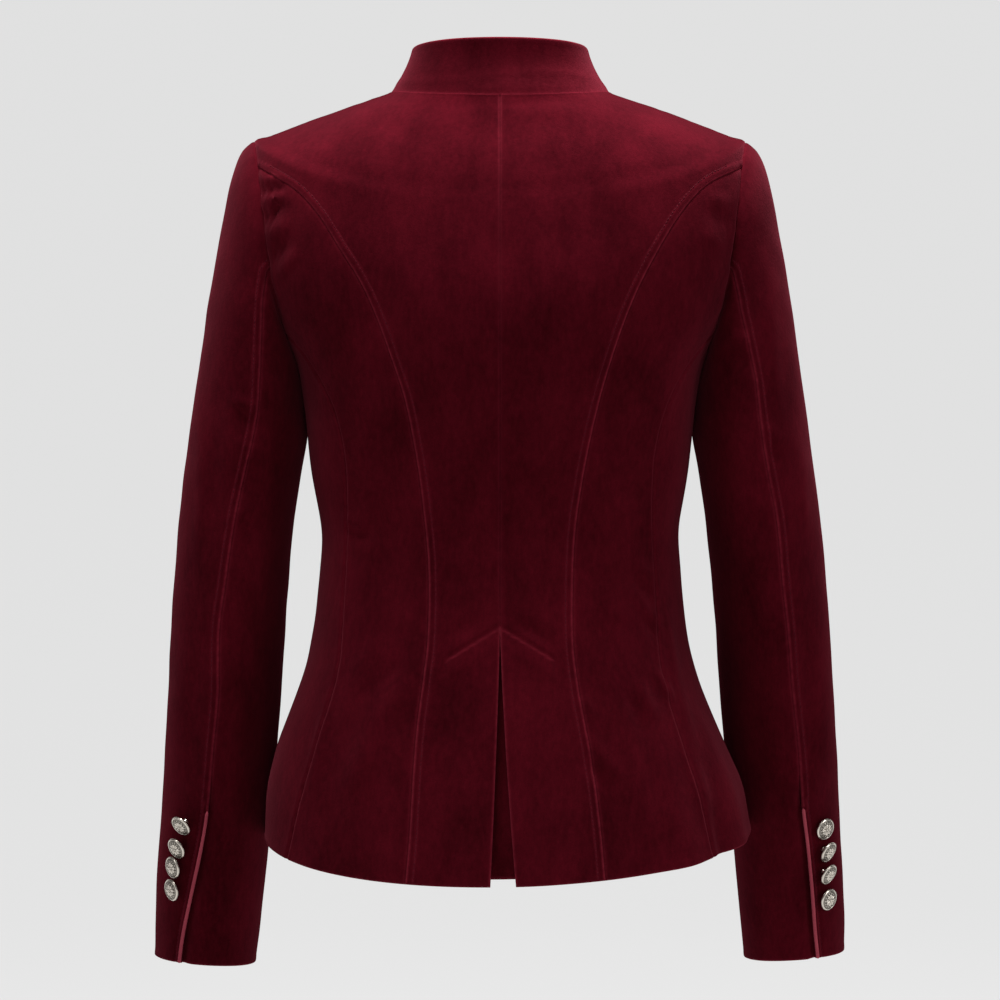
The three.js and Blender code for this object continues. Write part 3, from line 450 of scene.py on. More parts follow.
def body_seams(side):
    shoulder_rings = lerp(SHOULDER_TIP, NECK, SHOULDER[1:])
    shoulder = np.stack([np.full(shoulder_rings.shape, SIDES[side] * 0.5), shoulder_rings], -1)
    arm_low = armhole_place(side, lerp(SIDE_SEAM_ANGLE, BACK_PRINCESS_ANGLE, ARM_LOW[1:]))
    arm_high = armhole_place(side, lerp(BACK_PRINCESS_ANGLE, 0, ARM_HIGH[1:]))
    front_high = armhole_place(side, lerp(FRONT_PRINCESS_ANGLE, 0, ARM_HIGH[1:]))
    back = seam(side, BACK_PRINCESS, "back", BACK_PRINCESS_ANGLE, HEM_TO_PRINCESS)
    sides = seam(side, SIDE_SEAM, "back", SIDE_SEAM_ANGLE, HEM_TO_ARM)
    front = seam(side, FRONT_PRINCESS, "front", FRONT_PRINCESS_ANGLE, HEM_TO_ARM)
    return dict(
        back=back,
        side=sides,
        side_and_arm=np.concatenate([sides, arm_low]),
        front=front,
        back_outer=np.concatenate([back, arm_high, shoulder]),
        front_outer=np.concatenate([front, front_high, shoulder]),
    )


def near(points, line):
    """The distance of each point to a line, and how far along the line its nearest place is."""
    along = lengths(line)
    keys = np.linspace(0, along[-1], max(int(along[-1]), 3) + 1)
    dense = resample(line, along, keys)
    step = keys[1]
    flat = points.reshape(-1, 3)
    half = (dense**2).sum(1) / 2
    parts = np.array_split(flat, len(flat) // 4000 + 1)
    best = np.concatenate([np.argmin(half - part @ dense.T, axis=1) for part in parts])
    inner = np.clip(best, 1, len(dense) - 2)
    tangent = unit(dense[inner + 1] - dense[inner - 1])
    off = flat - dense[best]
    slide = np.clip((off * tangent).sum(1), -0.6 * step, 0.6 * step)
    distance = np.linalg.norm(off - slide[:, None] * tangent, axis=1)
    return distance.reshape(points.shape[:-1]), (keys[best] + slide).reshape(points.shape[:-1])


def style(ridges, wear_and_sheen_marks, puckers, step=(0, 0, 1), slope=(0, 1), folded=False):
    """How the cloth rises and falls beside a seam or an edge, and how much lighter its colour is painted
    there, for pile rubbed open and as a painted highlight where the edge catches the light.

    Ridges and the bands of lighter colour are (height, distance, width), puckers (height, reach), step
    (height, from, to) and slope (height, reach), all by the distance d; s is how far along the seam a point
    lies.
    """

    def shape(d, s, seed):
        relief = step[0] * (1 - smoothstep(d, *step[1:])) + slope[0] * np.exp(-d / slope[1])
        relief += sum(rise * bump(d - at, wide) for rise, at, wide in ridges)
        if folded:
            inside = np.clip(1 - d / EDGE_ROUND, 0, 1)
            relief += EDGE_ROUND * (np.sqrt(1 - inside**2 * 0.999) - 1)
        for k, (height, reach) in enumerate(puckers):
            number = seed + 5 * k
            line = vector(s, number * 37.0, 0)
            uneven = waves(line, 9, number) + 0.6 * waves(line, 4.5, number + 1)
            relief += height * uneven * np.exp(-d / reach)
        return relief, sum(rise * bump(d - at, wide) for rise, at, wide in wear_and_sheen_marks)

    return shape


# The side of a seam that carries the topstitching, and the side that runs in under it
lapped_seam = style(
    [(-1.2, 0, 0.9), (-0.5, STITCH_LINE, 0.75)],
    [(0.9, 0.9, 0.8), (0.55, STITCH_LINE, 0.7)],
    [(0.17, 7)],
    step=(0.45, 4.4, 9),
)
flat_seam = style([], [(0.3, 0.8, 0.9)], [(0.22, 9)], slope=(-0.9, 1.5))
plain_seam = style([(-1.3, 0, 1.2), (0.25, 2.6, 1.8)], [(0.3, 1, 0.8)], [(0.2, 7)])
# The armhole, where the sleeve's allowance rounds the cloth, and its flatter top
armhole_seam = style([(-0.3, 0, 0.9), (0.35, 5, 4)], [(0.4, 0.8, 0.9)], [(0.4, 10)])
cap_seam = style([(-0.7, 0, 9)], [(0.5, 0.7, 0.8)], [(0.12, 8)])
sleeve_head = style([(0.4, 3, 4), (-0.7, 0, 1)], [(0.1, 1, 1)], [(0.35, 10)])
collar_foot = style([(0.35, 0.9, 1)], [(0.6, 0.8, 0.8)], [(0.1, 6)])
neck_edge = style([(0.3, 1, 1.2)], [(0.5, 0.4, 0.7)], [(0.08, 6)])
folded_edge = style([(0.18, 2.5, 2.5)], [(0.9, 0, 1.1)], [(0.06, 8)], folded=True)
front_edge = style([(0.18, 2.5, 2.5)], [(0.9, 0, 1.1)], [(0.06, 8)], folded=True)
piped_edge = style(
    [(0.18, 2.5, 2.5), (-0.6, STITCH_LINE, 0.9)],
    [(0.35, STITCH_LINE - 1.2, 0.9)],
    [(0.06, 8), (0.3, 14)],
    folded=True,
)
# A turned-up hem, whose upper edge shows faintly through the cloth
hem_edge = style([(0.18, 2.5, 2.5)], [(0.72, 0, 1.1)], [(0.06, 8)], step=(0.16, 30, 34), folded=True)
even_centre_seam = style([(-0.6, 0, 0.8), (0.2, 2, 1.5)], [(1, 0.8, 0.7)], [(0.15, 7)])
STITCHED = (lapped_seam, front_edge, piped_edge)


def centre_seam(d, s, seed):
    """Its colour is painted lighter, for pile rubbed open and as a painted highlight, mostly near the collar.
    """
    relief, wear_and_sheen = even_centre_seam(d, s, seed)
    return relief, wear_and_sheen * lerp(0.16, 0.5, smoothstep(s, 280, 400))


# Creases given one by one. Each is a soft ridge or trough between two points, on the back or on the
# front: x and z of each point, its width and its rise.
CREASES = {
    "body back": [
        (-178, -71, -160, -69, 2.5, 1.8), (-176, -79, -158, -76, 2.3, -2.6),
        (-175, -88, -155, -84, 3.1, 2.6), (-173, -100, -158, -90, 3.1, -3.1),
        (-170, -113, -154, -104, 3.4, 3), (-168, -128, -152, -118, 3.5, -2.6),
        (-163, -142, -148, -128, 3.9, 1.6), (172, -90, 152, -84, 3.5, 1.2),
        (170, -104, 150, -97, 3.9, -1.4), (165, -124, 148, -112, 4.7, 1.4),
        # below the collar
        (3, -14, 64, -12, 4.5, -0.7), (0, -25, 62, -22, 5.5, 0.6), (-58, -16, -8, -15, 5, -0.5),
        (-70, -34, -20, -28, 5, 0.3),
        # hollow of the waist
        (-114, -318, -98, -326, 3.6, 1.4), (-112, -328, -94, -334, 3.6, -1.7),
        (-112, -340, -90, -342, 4.2, 1.4), (-52, -352, -20, -356, 5.5, 0.8),
        (-40, -366, 10, -362, 6, -0.8), (16, -346, 50, -352, 5, 0.8), (98, -352, 112, -362, 3.6, 1.7),
        (97, -364, 110, -374, 3.4, -1.8), (100, -378, 114, -394, 3.4, 1.8),
        (104, -392, 116, -408, 3.2, -1.4), (112, -430, 124, -450, 3.6, 2), (70, -380, 96, -392, 6, 1),
        # drag lines from the princess seams into the peplum
        (-64, -436, -86, -466, 9, 3.1), (-86, -466, -112, -520, 11, 3.5), (-72, -420, -104, -452, 7, -1.8),
        (60, -448, 66, -460, 3.4, 2), (64, -478, 84, -504, 4.6, 2.6), (62, -492, 78, -514, 4, -2),
        (100, -440, 112, -464, 5, 2.5), (93, -446, 104, -470, 5, -1.8),
        # either side of the chevron
        (-40, -404, -14, -392, 5, -1.7), (14, -394, 38, -408, 4.6, -2.5), (-52, -424, -44, -440, 6, 1.6),
        (-88, -410, -106, -430, 6, 1.2), (122, -392, 130, -448, 4.5, 2.2), (131, -450, 141, -490, 5, 2.5),
        (141, -490, 151, -530, 6, 2.2), (-125, -455, -137, -520, 5, 1.7),
        (-108, -470, -122, -540, 12, -1.6), (86, -470, 100, -540, 14, 1.8),
        (104, -470, 118, -530, 9, -1.4), (36, -440, 42, -540, 13, -1.3), (-36, -430, -44, -545, 13, -1.3),
        # blades
        (-98, -150, -74, -230, 20, -1.5), (98, -150, 76, -230, 20, -1.4), (-60, -120, -40, -210, 26, 1.4),
        (58, -120, 40, -205, 26, 1.4),
    ],
    "body front": [
        (-172, -96, -150, -90, 5, 1.4), (-170, -112, -146, -104, 5, -1.6), (168, -100, 148, -93, 5, 1.3),
        (166, -117, 146, -108, 5, -1.4), (-60, -334, -24, -340, 5, 1.1), (-62, -350, -20, -352, 5.5, -1.3),
        (20, -332, 58, -338, 5, 1.1), (22, -346, 62, -354, 5, -1.3), (-110, -330, -74, -338, 6, 1.1),
        (78, -334, 112, -346, 6, 1.3), (-70, -420, -96, -500, 10, 2.1), (70, -420, 92, -510, 10, 2.1),
        (-20, -400, -34, -540, 12, 1.3), (24, -400, 36, -540, 12, 1.3), (-110, -250, -70, -236, 9, 1.4),
        (112, -254, 70, -238, 9, 1.4),
    ],
    "sleeve back": [
        # pressed lines and long soft folds
        (-222, -216, -220, -350, 5, 1.4), (-208, -230, -212, -330, 6, -1.1),
        (-236, -360, -240, -500, 9, 1.1), (-226, -420, -229, -520, 7, -1), (199, -150, 203, -246, 5, 1.4),
        (190, -160, 194, -240, 6, -1.1), (224, -276, 226, -330, 4.5, 1.4), (238, -380, 244, -520, 9, 1.1),
        (228, -400, 232, -500, 7, -1),
        # back of the elbow
        (-196, -232, -180, -238, 4.5, 1.6), (-195, -243, -178, -250, 4.5, -1.6),
        (-194, -262, -178, -272, 5, 1.4), (-196, -300, -182, -290, 5, -1.3),
        (-200, -322, -184, -310, 5.5, 1.3), (166, -184, 184, -190, 5, 1.8),
        (164, -196, 184, -204, 5, -2.2), (168, -214, 188, -218, 5, 1.4), (196, -252, 208, -266, 4.5, 1.4),
        (194, -262, 206, -276, 4.5, -1.4), (180, -300, 200, -312, 6, 1.3), (178, -318, 198, -330, 6, -1.3),
        # forearm
        (-204, -480, -190, -520, 8, 1.4), (-212, -560, -196, -610, 8, -1.1),
        (212, -470, 204, -520, 8, 1.4), (216, -560, 206, -610, 8, -1.1),
        # above the cuff vent
        (-232, -520, -222, -534, 4, 1), (232, -512, 238, -530, 4, 1),
    ],
    "sleeve front": [
        (-170, -232, -196, -240, 6, 1.8), (-172, -250, -200, -258, 6, -1.9),
        (-176, -272, -206, -284, 6.5, 1.8), (-180, -298, -210, -306, 6.5, -1.9),
        (-184, -322, -214, -326, 7, 1.6), (172, -236, 198, -246, 6, 1.8), (174, -256, 202, -264, 6, -1.9),
        (178, -280, 208, -290, 6.5, 1.8), (182, -304, 212, -310, 6.5, -1.9),
        (186, -330, 216, -330, 7, 1.6), (-214, -120, -216, -220, 8, 1.3), (214, -120, 216, -230, 8, 1.3),
        (-220, -400, -228, -560, 10, 1.3), (222, -400, 232, -560, 10, 1.3),
    ],
}


def crease_rise(points, normals, part):
    """How far the creases stand out at each point."""
    total = np.zeros(points.shape[:-1])
    for face, sign in (("back", -1), ("front", 1)):
        facing = smoothstep(sign * normals[..., 1], -0.1, 0.35)
        for x1, z1, x2, z2, wide, rise in CREASES[part + " " + face]:
            ax, az = x2 - x1, z2 - z1
            size = math.hypot(ax, az)
            x, z = points[..., 0] - x1, points[..., 2] - z1
            along = (x * ax + z * az) / size**2
            off = (x * az - z * ax) / size
            # it bends a little and thins out towards both ends
            off = off + 0.12 * size * (np.clip(along, 0, 1) - 0.5) ** 2 * math.copysign(1, x1 * rise)
            taper = smoothstep(along, -0.25, 0.35) * (1 - smoothstep(along, 0.65, 1.25))
            total += rise * facing * taper * bump(off, wide)
    return total


def chevron(points):
    """The stitched fold at the top of the vent's pleat, which stands out over the cloth above it."""
    reach = abs(points[..., 0])
    arm = VENT_TOP + 3 - CHEVRON_DROP * reach / CHEVRON_REACH
    below = (arm - points[..., 2]) / math.hypot(1, CHEVRON_DROP / CHEVRON_REACH)
    within = (1 - smoothstep(reach, CHEVRON_REACH - 2, CHEVRON_REACH + 3)) * (points[..., 1] < 0)
    near_it = (1 - smoothstep(reach, CHEVRON_REACH - 12, CHEVRON_REACH + 16)) * (points[..., 1] < 0)
    step = within * 1.1 * smoothstep(below, -0.4, 0.6) * (1 - smoothstep(below, 3, 18))
    step += near_it * 1.9 * smoothstep(below, -2, 12) * (1 - smoothstep(below, 16, 90))
    groove = -within * 1.0 * bump(below + 1.5, 1.6) - near_it * 0.9 * bump(below + 8, 7)
    # The second value paints the colour lighter along the fold: a painted highlight, partly pile rubbed open.
    return step + groove, within * 0.4 * bump(below - 0.8, 0.8)


def mesh_of(name, points, quads, wear_and_sheen=None, inner=None):
    """A mesh object from points in millimetres and four-cornered faces. inner marks the wrong side's."""
    mesh = bpy.data.meshes.new(name)
    mesh.vertices.add(len(points))
    mesh.vertices.foreach_set("co", (points * METRE).astype(np.float32).ravel())
    mesh.loops.add(quads.size)
    mesh.loops.foreach_set("vertex_index", quads.astype(np.int32).ravel())
    mesh.polygons.add(len(quads))
    mesh.polygons.foreach_set("loop_start", np.arange(0, quads.size, 4, dtype=np.int32))
    mesh.polygons.foreach_set("use_smooth", np.ones(len(quads), bool))
    if inner is not None:
        mesh.polygons.foreach_set("material_index", inner.astype(np.int32))
    mesh.update(calc_edges=True)
    if wear_and_sheen is not None:
        layer = mesh.attributes.new("wear_and_sheen", "FLOAT", "POINT")
        layer.data.foreach_set("value", wear_and_sheen.astype(np.float32).ravel())
    mesh.validate()
    made = bpy.data.objects.new(name, mesh)
    bpy.context.scene.collection.objects.link(made)
    return made


def grid_quads(rows, columns, start=0, flip=False):
    index = start + np.arange(rows * columns).reshape(rows, columns)
    corners = [index[:-1, :-1], index[:-1, 1:], index[1:, 1:], index[1:, :-1]]
    if flip:
        corners.reverse()
    return np.stack(corners, -1).reshape(-1, 4)


def shell(name, outer, inner, wear_and_sheen):
    """A closed sheet of cloth between an outer grid of points and an inner one."""
    rows, columns = outer.shape[:2]
    count = rows * columns
    middle = (rows // 2, columns // 2)
    u = outer[middle[0], middle[1] + 1] - outer[middle]
    v = outer[middle[0] + 1, middle[1]] - outer[middle]
    flip = np.dot(np.cross(u, v), outer[middle] - inner[middle]) < 0
    index = np.arange(count).reshape(rows, columns)
    border = np.concatenate([index[0, :-1], index[:-1, -1], index[-1, :0:-1], index[:0:-1, 0]])
    after = np.roll(border, -1)
    rim = np.stack([after, border, border + count, after + count], -1)
    if flip:
        rim = rim[:, ::-1]
    faces = [grid_quads(rows, columns, 0, flip), grid_quads(rows, columns, count, not flip), rim]
    marks = np.concatenate([np.full(len(f), k == 1) for k, f in enumerate(faces)])
    points = np.concatenate([outer.reshape(-1, 3), inner.reshape(-1, 3)])
    wear_and_sheen_marks = np.concatenate([wear_and_sheen.ravel(), np.zeros(count)])
    made = mesh_of(name, points, np.concatenate(faces), wear_and_sheen_marks, marks)
    made.data.set_sharp_from_angle(angle=math.radians(55))
    return made


stitch_lines = {"left": [], "right": []}


pieces = {}


def cloth(name, side, part, surface, normals, borders, dip=None, thick=CLOTH, extra=None, unevenness=0.8):
    """A cloth piece from its smooth surface.

    borders lists its seams and edges: a side of the grid or a line, its style and seed, and the
    first row and the one past the last where it is only part of that side. part names its creases,
    and dip says how deep it lies under others.
    """
    rise = crease_rise(surface, normals, part) if part else np.zeros(surface.shape[:-1])
    rise += unevenness * (0.55 * waves(surface * [1, 1, 0.55], 42, 11) + 0.22 * waves(surface, 17, 12))
    # How much lighter the colour is painted at each point: pile rubbed open, and painted highlights along
    # seams, edges and folds.
    wear_and_sheen = np.zeros(surface.shape[:-1])
    if extra is not None:
        more, wear_and_sheen_share = extra(surface)
        rise += more
        wear_and_sheen += wear_and_sheen_share
    relief = np.zeros(surface.shape[:-1])
    lines = []
    edges = dict(left=surface[:, 0], right=surface[:, -1], foot=surface[0], top=surface[-1])
    for edge, look, seed, *rows in borders:
        line = edges[edge] if isinstance(edge, str) else edge
        distance, along = near(surface, line[slice(*rows)] if rows else line)
        height, wear_and_sheen_share = look(distance, along, seed)
        relief += height
        wear_and_sheen = np.maximum(wear_and_sheen, wear_and_sheen_share)
        if look in STITCHED:
            lines.append(distance)
    hidden = np.zeros(surface.shape[:-1]) if dip is None else dip(surface)
    outer = surface + normals * (rise + relief - hidden)[..., None]
    inner = surface + normals * (rise - hidden - thick)[..., None]
    pieces[name] = shell(name, outer, inner, np.clip(wear_and_sheen, 0, 1))
    for distance in lines:
        stitch_lines[side].append(line_at(distance, outer, normals))


def line_at(distance, outer, normals):
    """The line on a grid where the distance from its near edge is that of the topstitching."""
    points, ups = [], []
    rightwards = distance[:, 0].mean() < distance[:, -1].mean()
    if not rightwards:
        distance, outer, normals = distance[:, ::-1], outer[:, ::-1], normals[:, ::-1]
    for row, at, up in zip(distance, outer, normals):
        j = int(np.argmax(row >= STITCH_LINE))
        if row[j] < STITCH_LINE or j == 0 or row[0] > 1.5:
            continue
        share = (STITCH_LINE - row[j - 1]) / max(row[j] - row[j - 1], 1e-6)
        points.append(lerp(at[j - 1], at[j], share))
        ups.append(lerp(up[j - 1], up[j], share))
    return np.array(points), np.array(ups)


def body_piece(name, side, places, borders, **more):
    surface = body(places[..., 0], places[..., 1])
    cloth(name, side, "body", surface, body_normal(places[..., 0], places[..., 1]), borders, **more)


ROWS_TO_ARM = len(HEM_TO_ARM) - 1
ROWS_TO_PRINCESS = len(HEM_TO_PRINCESS) - 1
ROWS_TO_TIP = ROWS_TO_PRINCESS + len(ARM_HIGH) - 1
FRONT_ROWS_TO_TIP = ROWS_TO_ARM + len(ARM_HIGH) - 1
CELL = 3.6  # width of a mesh cell away from the seams
CHEVRON_SHARE = 0.75  # of a back half's columns that lie closer together, across the chevron
FRONT_CAP_ROWS = 12  # at the top of the front's armhole
BODY_SEEDS = {"left": 100, "right": 200}
SLEEVE_SEEDS = {"left": 300, "right": 400}
NECK_SEED = 7
COLLAR_SEED = 51


def panel(name, side, left, right, borders, arc=None, fine=0.0, **more):
    """A body piece between two seams. fine is the share of its columns that lie closer together."""
    shares = columns_for(widths(left, right), CELL, fine)
    body_piece(f"{name}_{side}", side, between(left, right, shares, arc), borders, **more)


def build_back(side, seams, seed):
    """From the centre seam and the vent's edge to the princess seam, armhole and shoulder."""
    rings = np.concatenate([lerp(HEM, BACK_JOIN, HEM_TO_PRINCESS), lerp(BACK_JOIN, NECK, TO_NECK)])
    down = np.maximum(0, (VENT_TOP - rings) / (VENT_TOP - HEM))
    centre = np.stack([SIDES[side] * VENT_GAP[side] * down**VENT_SPREAD / centre_scale(rings), rings], -1)
    vent_row = int(np.argmax(rings > VENT_TOP))
    borders = [
        ("left", folded_edge, seed, 0, vent_row + 1),
        ("left", centre_seam, 3, vent_row, None),
        ("right", lapped_seam, seed + 1, 0, ROWS_TO_PRINCESS + 1),
        ("right", cap_seam, seed + 2, ROWS_TO_PRINCESS, ROWS_TO_TIP + 1),
        ("right", plain_seam, seed + 3, ROWS_TO_TIP, None),
        ("foot", hem_edge, seed + 4),
        ("top", neck_edge, NECK_SEED),
    ]
    panel("back", side, centre, seams["back_outer"], borders, fine=CHEVRON_SHARE, extra=chevron)


def build_side_back(side, seams, seed):
    """A long wedge that ends where the princess seam meets the armhole."""
    borders = [
        ("left", flat_seam, seed + 1),
        ("right", plain_seam, seed + 5, 0, ROWS_TO_ARM + 1),
        ("right", armhole_seam, seed + 6, ROWS_TO_ARM, None),
        ("foot", hem_edge, seed + 4),
    ]
    panel("side_back", side, seams["back"], seams["side_and_arm"], borders)


def build_side(side, seams, seed):
    """Under the arm."""
    borders = [
        ("left", plain_seam, seed + 5),
        ("right", flat_seam, seed + 7),
        ("foot", hem_edge, seed + 4),
        ("top", armhole_seam, seed + 6),
    ]

    def underarm(share):
        return armhole_place(side, lerp(SIDE_SEAM_ANGLE, FRONT_PRINCESS_ANGLE + 360, share))

    panel("side", side, seams["side"], seams["front"], borders, underarm)


def build_front(side, seams, seed):
    """Past the centre by the overlap; the left one dips under the right one."""
    rings = np.concatenate([lerp(HEM, FRONT_JOIN, HEM_TO_ARM), lerp(FRONT_JOIN, NECK, TO_NECK)])
    centre = np.stack([SIDES[side] * (1 + FRONT_OVERLAP / centre_scale(rings)), rings], -1)
    cap_start = FRONT_ROWS_TO_TIP - FRONT_CAP_ROWS
    borders = [
        ("left", front_edge, seed + 8),
        ("right", lapped_seam, seed + 7, 0, ROWS_TO_ARM + 1),
        ("right", armhole_seam, seed + 9, ROWS_TO_ARM, cap_start + 1),
        ("right", cap_seam, seed + 2, cap_start, FRONT_ROWS_TO_TIP + 1),
        ("right", plain_seam, seed + 3, FRONT_ROWS_TO_TIP, None),
        ("foot", hem_edge, seed + 4),
        ("top", neck_edge, NECK_SEED),
    ]

    def under(surface):
        x = surface[..., 0]
        return (CLOTH + LAYER_GAP) * smoothstep(x, -FRONT_OVERLAP - OVERLAP_RAMP, -FRONT_OVERLAP)

    panel("front", side, centre, seams["front_outer"], borders, dip=under if side == "left" else None)


def build_underlay():
    across = np.linspace(-1, 1, 33)
    t = np.linspace(0, 1, 64)[:, None]
    top = VENT_TOP - 3 - CHEVRON_DROP * abs(across)
    rings = lerp(HEM + UNDERLAY_SHORT, top, t)
    places = np.stack([across * lerp(UNDERLAY_REACH, CHEVRON_REACH, t) / centre_scale(rings), rings], -1)

    def dip(surface):
        """It lies flat against the back at its sides and hangs deeper in the middle of the pleat."""
        middle = bump(surface[..., 0] / UNDERLAY_REACH, 0.4)
        return CLOTH + LAYER_GAP + 5 * middle * smoothstep(-surface[..., 2], -VENT_TOP, -VENT_TOP + 90)

    body_piece("pleat_underlay", "left", places, [("foot", hem_edge, 41)], dip=dip)


def collar(turn, height):
    """The collar's outer surface, from its foot on the neck edge."""
    foot = body(turn, np.full(np.shape(turn), NECK))
    point = lerp(foot, on_ring(COLLAR_TOP, turn), np.asarray(height)[..., None])
    outward = unit(point - vector(0, COLLAR_TOP["side_y"], point[..., 2]))
    return point - outward * (COLLAR_HOLLOW * np.sin(math.pi * np.asarray(height)))[..., None]


def build_collar():
    per_turn = centre_scale(NECK)
    end = 1 - COLLAR_FRONT_GAP / per_turn
    share = stops(2 * end * per_turn, 3.0)
    turn = lerp(-end, end, share)
    inside = np.maximum(0, 1 - (end - abs(turn)) * per_turn / COLLAR_CORNER)
    cut = (1 - np.sqrt(1 - inside**2)) * COLLAR_CORNER / COLLAR_HEIGHT
    t = stops(COLLAR_HEIGHT, 2.4)[:, None]
    height = lerp(-COLLAR_SUNK / COLLAR_HEIGHT, 1 - cut, t)
    turns = np.broadcast_to(turn, height.shape)
    surface = collar(turns, height)
    normals = normal_of(collar, turns, height, 1e-3, 1e-2)

    def wrinkles(points):
        """Low folds where the collar bends round the neck, its stiffener's soft edge, and a painted
        highlight: a lighter band low on the collar.
        """
        round_neck = np.arctan2(points[..., 0], -points[..., 1])
        z = points[..., 2]
        rise = 0.5 * bump(round_neck - 0.55, 0.22) * bump(z - 8, 9)
        rise -= 0.45 * bump(round_neck - 0.2, 0.2) * bump(z - 12, 9)
        rise += 0.45 * bump(round_neck + 0.6, 0.25) * bump(z - 10, 10)
        rise += 0.35 * bump(z - 5.5 - 3 * np.sin(round_neck * 2.3), 2.6)
        # painted highlight: a lighter band low on the collar, uneven round the neck
        painted_collar_highlight = (0.32 * bump(z, 7) + 0.2 * bump(z - 12, 8)) * (0.75 + 0.5 * np.sin(round_neck * 1.6))
        return rise, painted_collar_highlight

    borders = [
        ("foot", collar_foot, NECK_SEED),
        ("top", folded_edge, COLLAR_SEED),
        ("left", folded_edge, COLLAR_SEED + 1),
        ("right", folded_edge, COLLAR_SEED + 2),
    ]
    own = dict(thick=COLLAR_CLOTH, extra=wrinkles, unevenness=0.45)
    cloth("collar", "left", None, surface, normals, borders, **own)


def edge_x(side):
    angles = np.linspace(-180, 180, 73)
    return curve(angles, abs(body(*armhole_place(side, angles).T)[:, 0]))


EDGE_X = {side: edge_x(side) for side in SIDES}


def wrapped(degrees):
    return (degrees + 180) % 360 - 180


def sleeve(side, turn, at):
    """A sleeve's outer surface. turn is in degrees from its outer line towards the back."""
    turn, at = np.asarray(turn, float), np.asarray(at, float)
    angle = np.radians(turn)
    across = (1 + np.cos(angle)) / 2
    stray = EDGE_X[side](wrapped(turn)) - lerp(SLEEVE["in_x"][0], SLEEVE["out_x"][0], across)
    fade = np.maximum(0, 1 - at / CAP_FADE) ** 2
    tuck = SLEEVE_AT["tuck"](at) if side == "left" else 0
    tuck = tuck + SEAM_TUCK * np.exp(-at / 2)
    return vector(
        SIDES[side] * (lerp(SLEEVE_AT["in_x"](at), SLEEVE_AT["out_x"](at), across) + stray * fade - tuck),
        SLEEVE_AT[side + "_y"](at) - SLEEVE_AT["deep"](at) * np.sin(angle),
        lerp(SLEEVE_AT["in_z"](at), SLEEVE_AT["out_z"](at), across),
    )


def sleeve_normal(side, turn, at):
    normal = normal_of(lambda p, q: sleeve(side, p, q), turn, np.maximum(at, 0.6), 0.3, 0.5)
    return -normal if side == "left" else normal


def degrees_for(millimetres, at):
    return np.degrees(millimetres / SLEEVE_AT["deep"](at))


def back_seam(side):
    """The angle at which each ring crosses the sleeve's back seam."""
    x = curve(SLEEVE_BACK_SEAM["z"], SLEEVE_BACK_SEAM[side])

    def angle(at):
        at = np.asarray(at, float)
        low, high = np.full(at.shape, 20.0), np.full(at.shape, 175.0)
        for _ in range(30):
            middle = (low + high) / 2
            point = sleeve(side, middle, at)
            outside = abs(point[..., 0]) > x(point[..., 2])
            low, high = np.where(outside, middle, low), np.where(outside, high, middle)
        return lerp(SLEEVE_BACK_ANGLE, low, smoothstep(at, -4, CAP_FADE))

    return angle


ARM_RINGS = stops(VENT_START, 3.4, end=False) * VENT_START
CUFF_RINGS = VENT_START + stops(CUFF_VENT_LENGTH, 3.2) * CUFF_VENT_LENGTH
SLEEVE_RINGS = np.concatenate([ARM_RINGS, CUFF_RINGS[1:]])
VENT_ROW = len(ARM_RINGS) - 1


def sleeve_grid(side, starts, ends):
    """Angles and rings of a sleeve piece's grid, between two edges given by their angles."""
    size = abs(ends - starts) / degrees_for(1, SLEEVE_RINGS)
    shares = columns_for(size, CELL)
    turns = starts[:, None] + (ends - starts)[:, None] * shares
    rings = np.broadcast_to(SLEEVE_RINGS[:, None], turns.shape)
    surface = sleeve(side, turns, rings)
    return turns, rings, surface, sleeve_normal(side, turns, rings)


def build_sleeve(side):
    seed = SLEEVE_SEEDS[side]
    seam_at = back_seam(side)
    seam_turns = seam_at(SLEEVE_RINGS)
    front_turns = np.full(len(SLEEVE_RINGS), float(SLEEVE_FRONT_ANGLE))

    # Top sleeve, from the back seam and the vent's edge round the outside to the front seam
    turns, rings, surface, normals = sleeve_grid(side, seam_turns, front_turns)
    borders = [
        ("left", lapped_seam, seed, 0, VENT_ROW + 1),
        ("left", piped_edge, seed + 1, VENT_ROW, None),
        ("right", plain_seam, seed + 2),
        ("foot", sleeve_head, seed + 3),
        ("top", folded_edge, seed + 4),
    ]
    cloth("sleeve_top_" + side, side, "sleeve", surface, normals, borders, unevenness=1.0)
    line = surface[:, 0]

    # Under sleeve, whose lower edge runs on beneath the vent
    lap = np.clip((SLEEVE_RINGS - VENT_START) / 4, 0, 1)
    starts = seam_turns - degrees_for(lap * UNDERLAP, SLEEVE_RINGS)
    turns, rings, surface, normals = sleeve_grid(side, starts, front_turns + 360)
    past = (turns - seam_turns[:, None]) / degrees_for(1, rings)
    deep = smoothstep(rings, VENT_START - DIP_LENGTH, VENT_START)
    hidden = deep * (CLOTH + LAYER_GAP) * (1 - smoothstep(past, 0.6, UNDERLAP_RAMP))
    borders = [
        (line, flat_seam, seed, 0, VENT_ROW + 1),
        ("right", plain_seam, seed + 2),
        ("foot", armhole_seam, seed + 3),
        ("top", folded_edge, seed + 5),
    ]
    name = "sleeve_under_" + side
    cloth(name, side, "sleeve", surface, normals, borders, dip=lambda _: hidden, unevenness=1.0)
    build_piping(side, seam_at, seed)


def tube(rings):
    """The points and faces of an open tube through rings of points."""
    count, sides = rings.shape[:2]
    index = np.arange(count * sides).reshape(count, sides)
    after = np.roll(index, -1, axis=1)
    quads = np.stack([index[:-1], after[:-1], after[1:], index[1:]], -1).reshape(-1, 4)
    return rings.reshape(-1, 3), quads


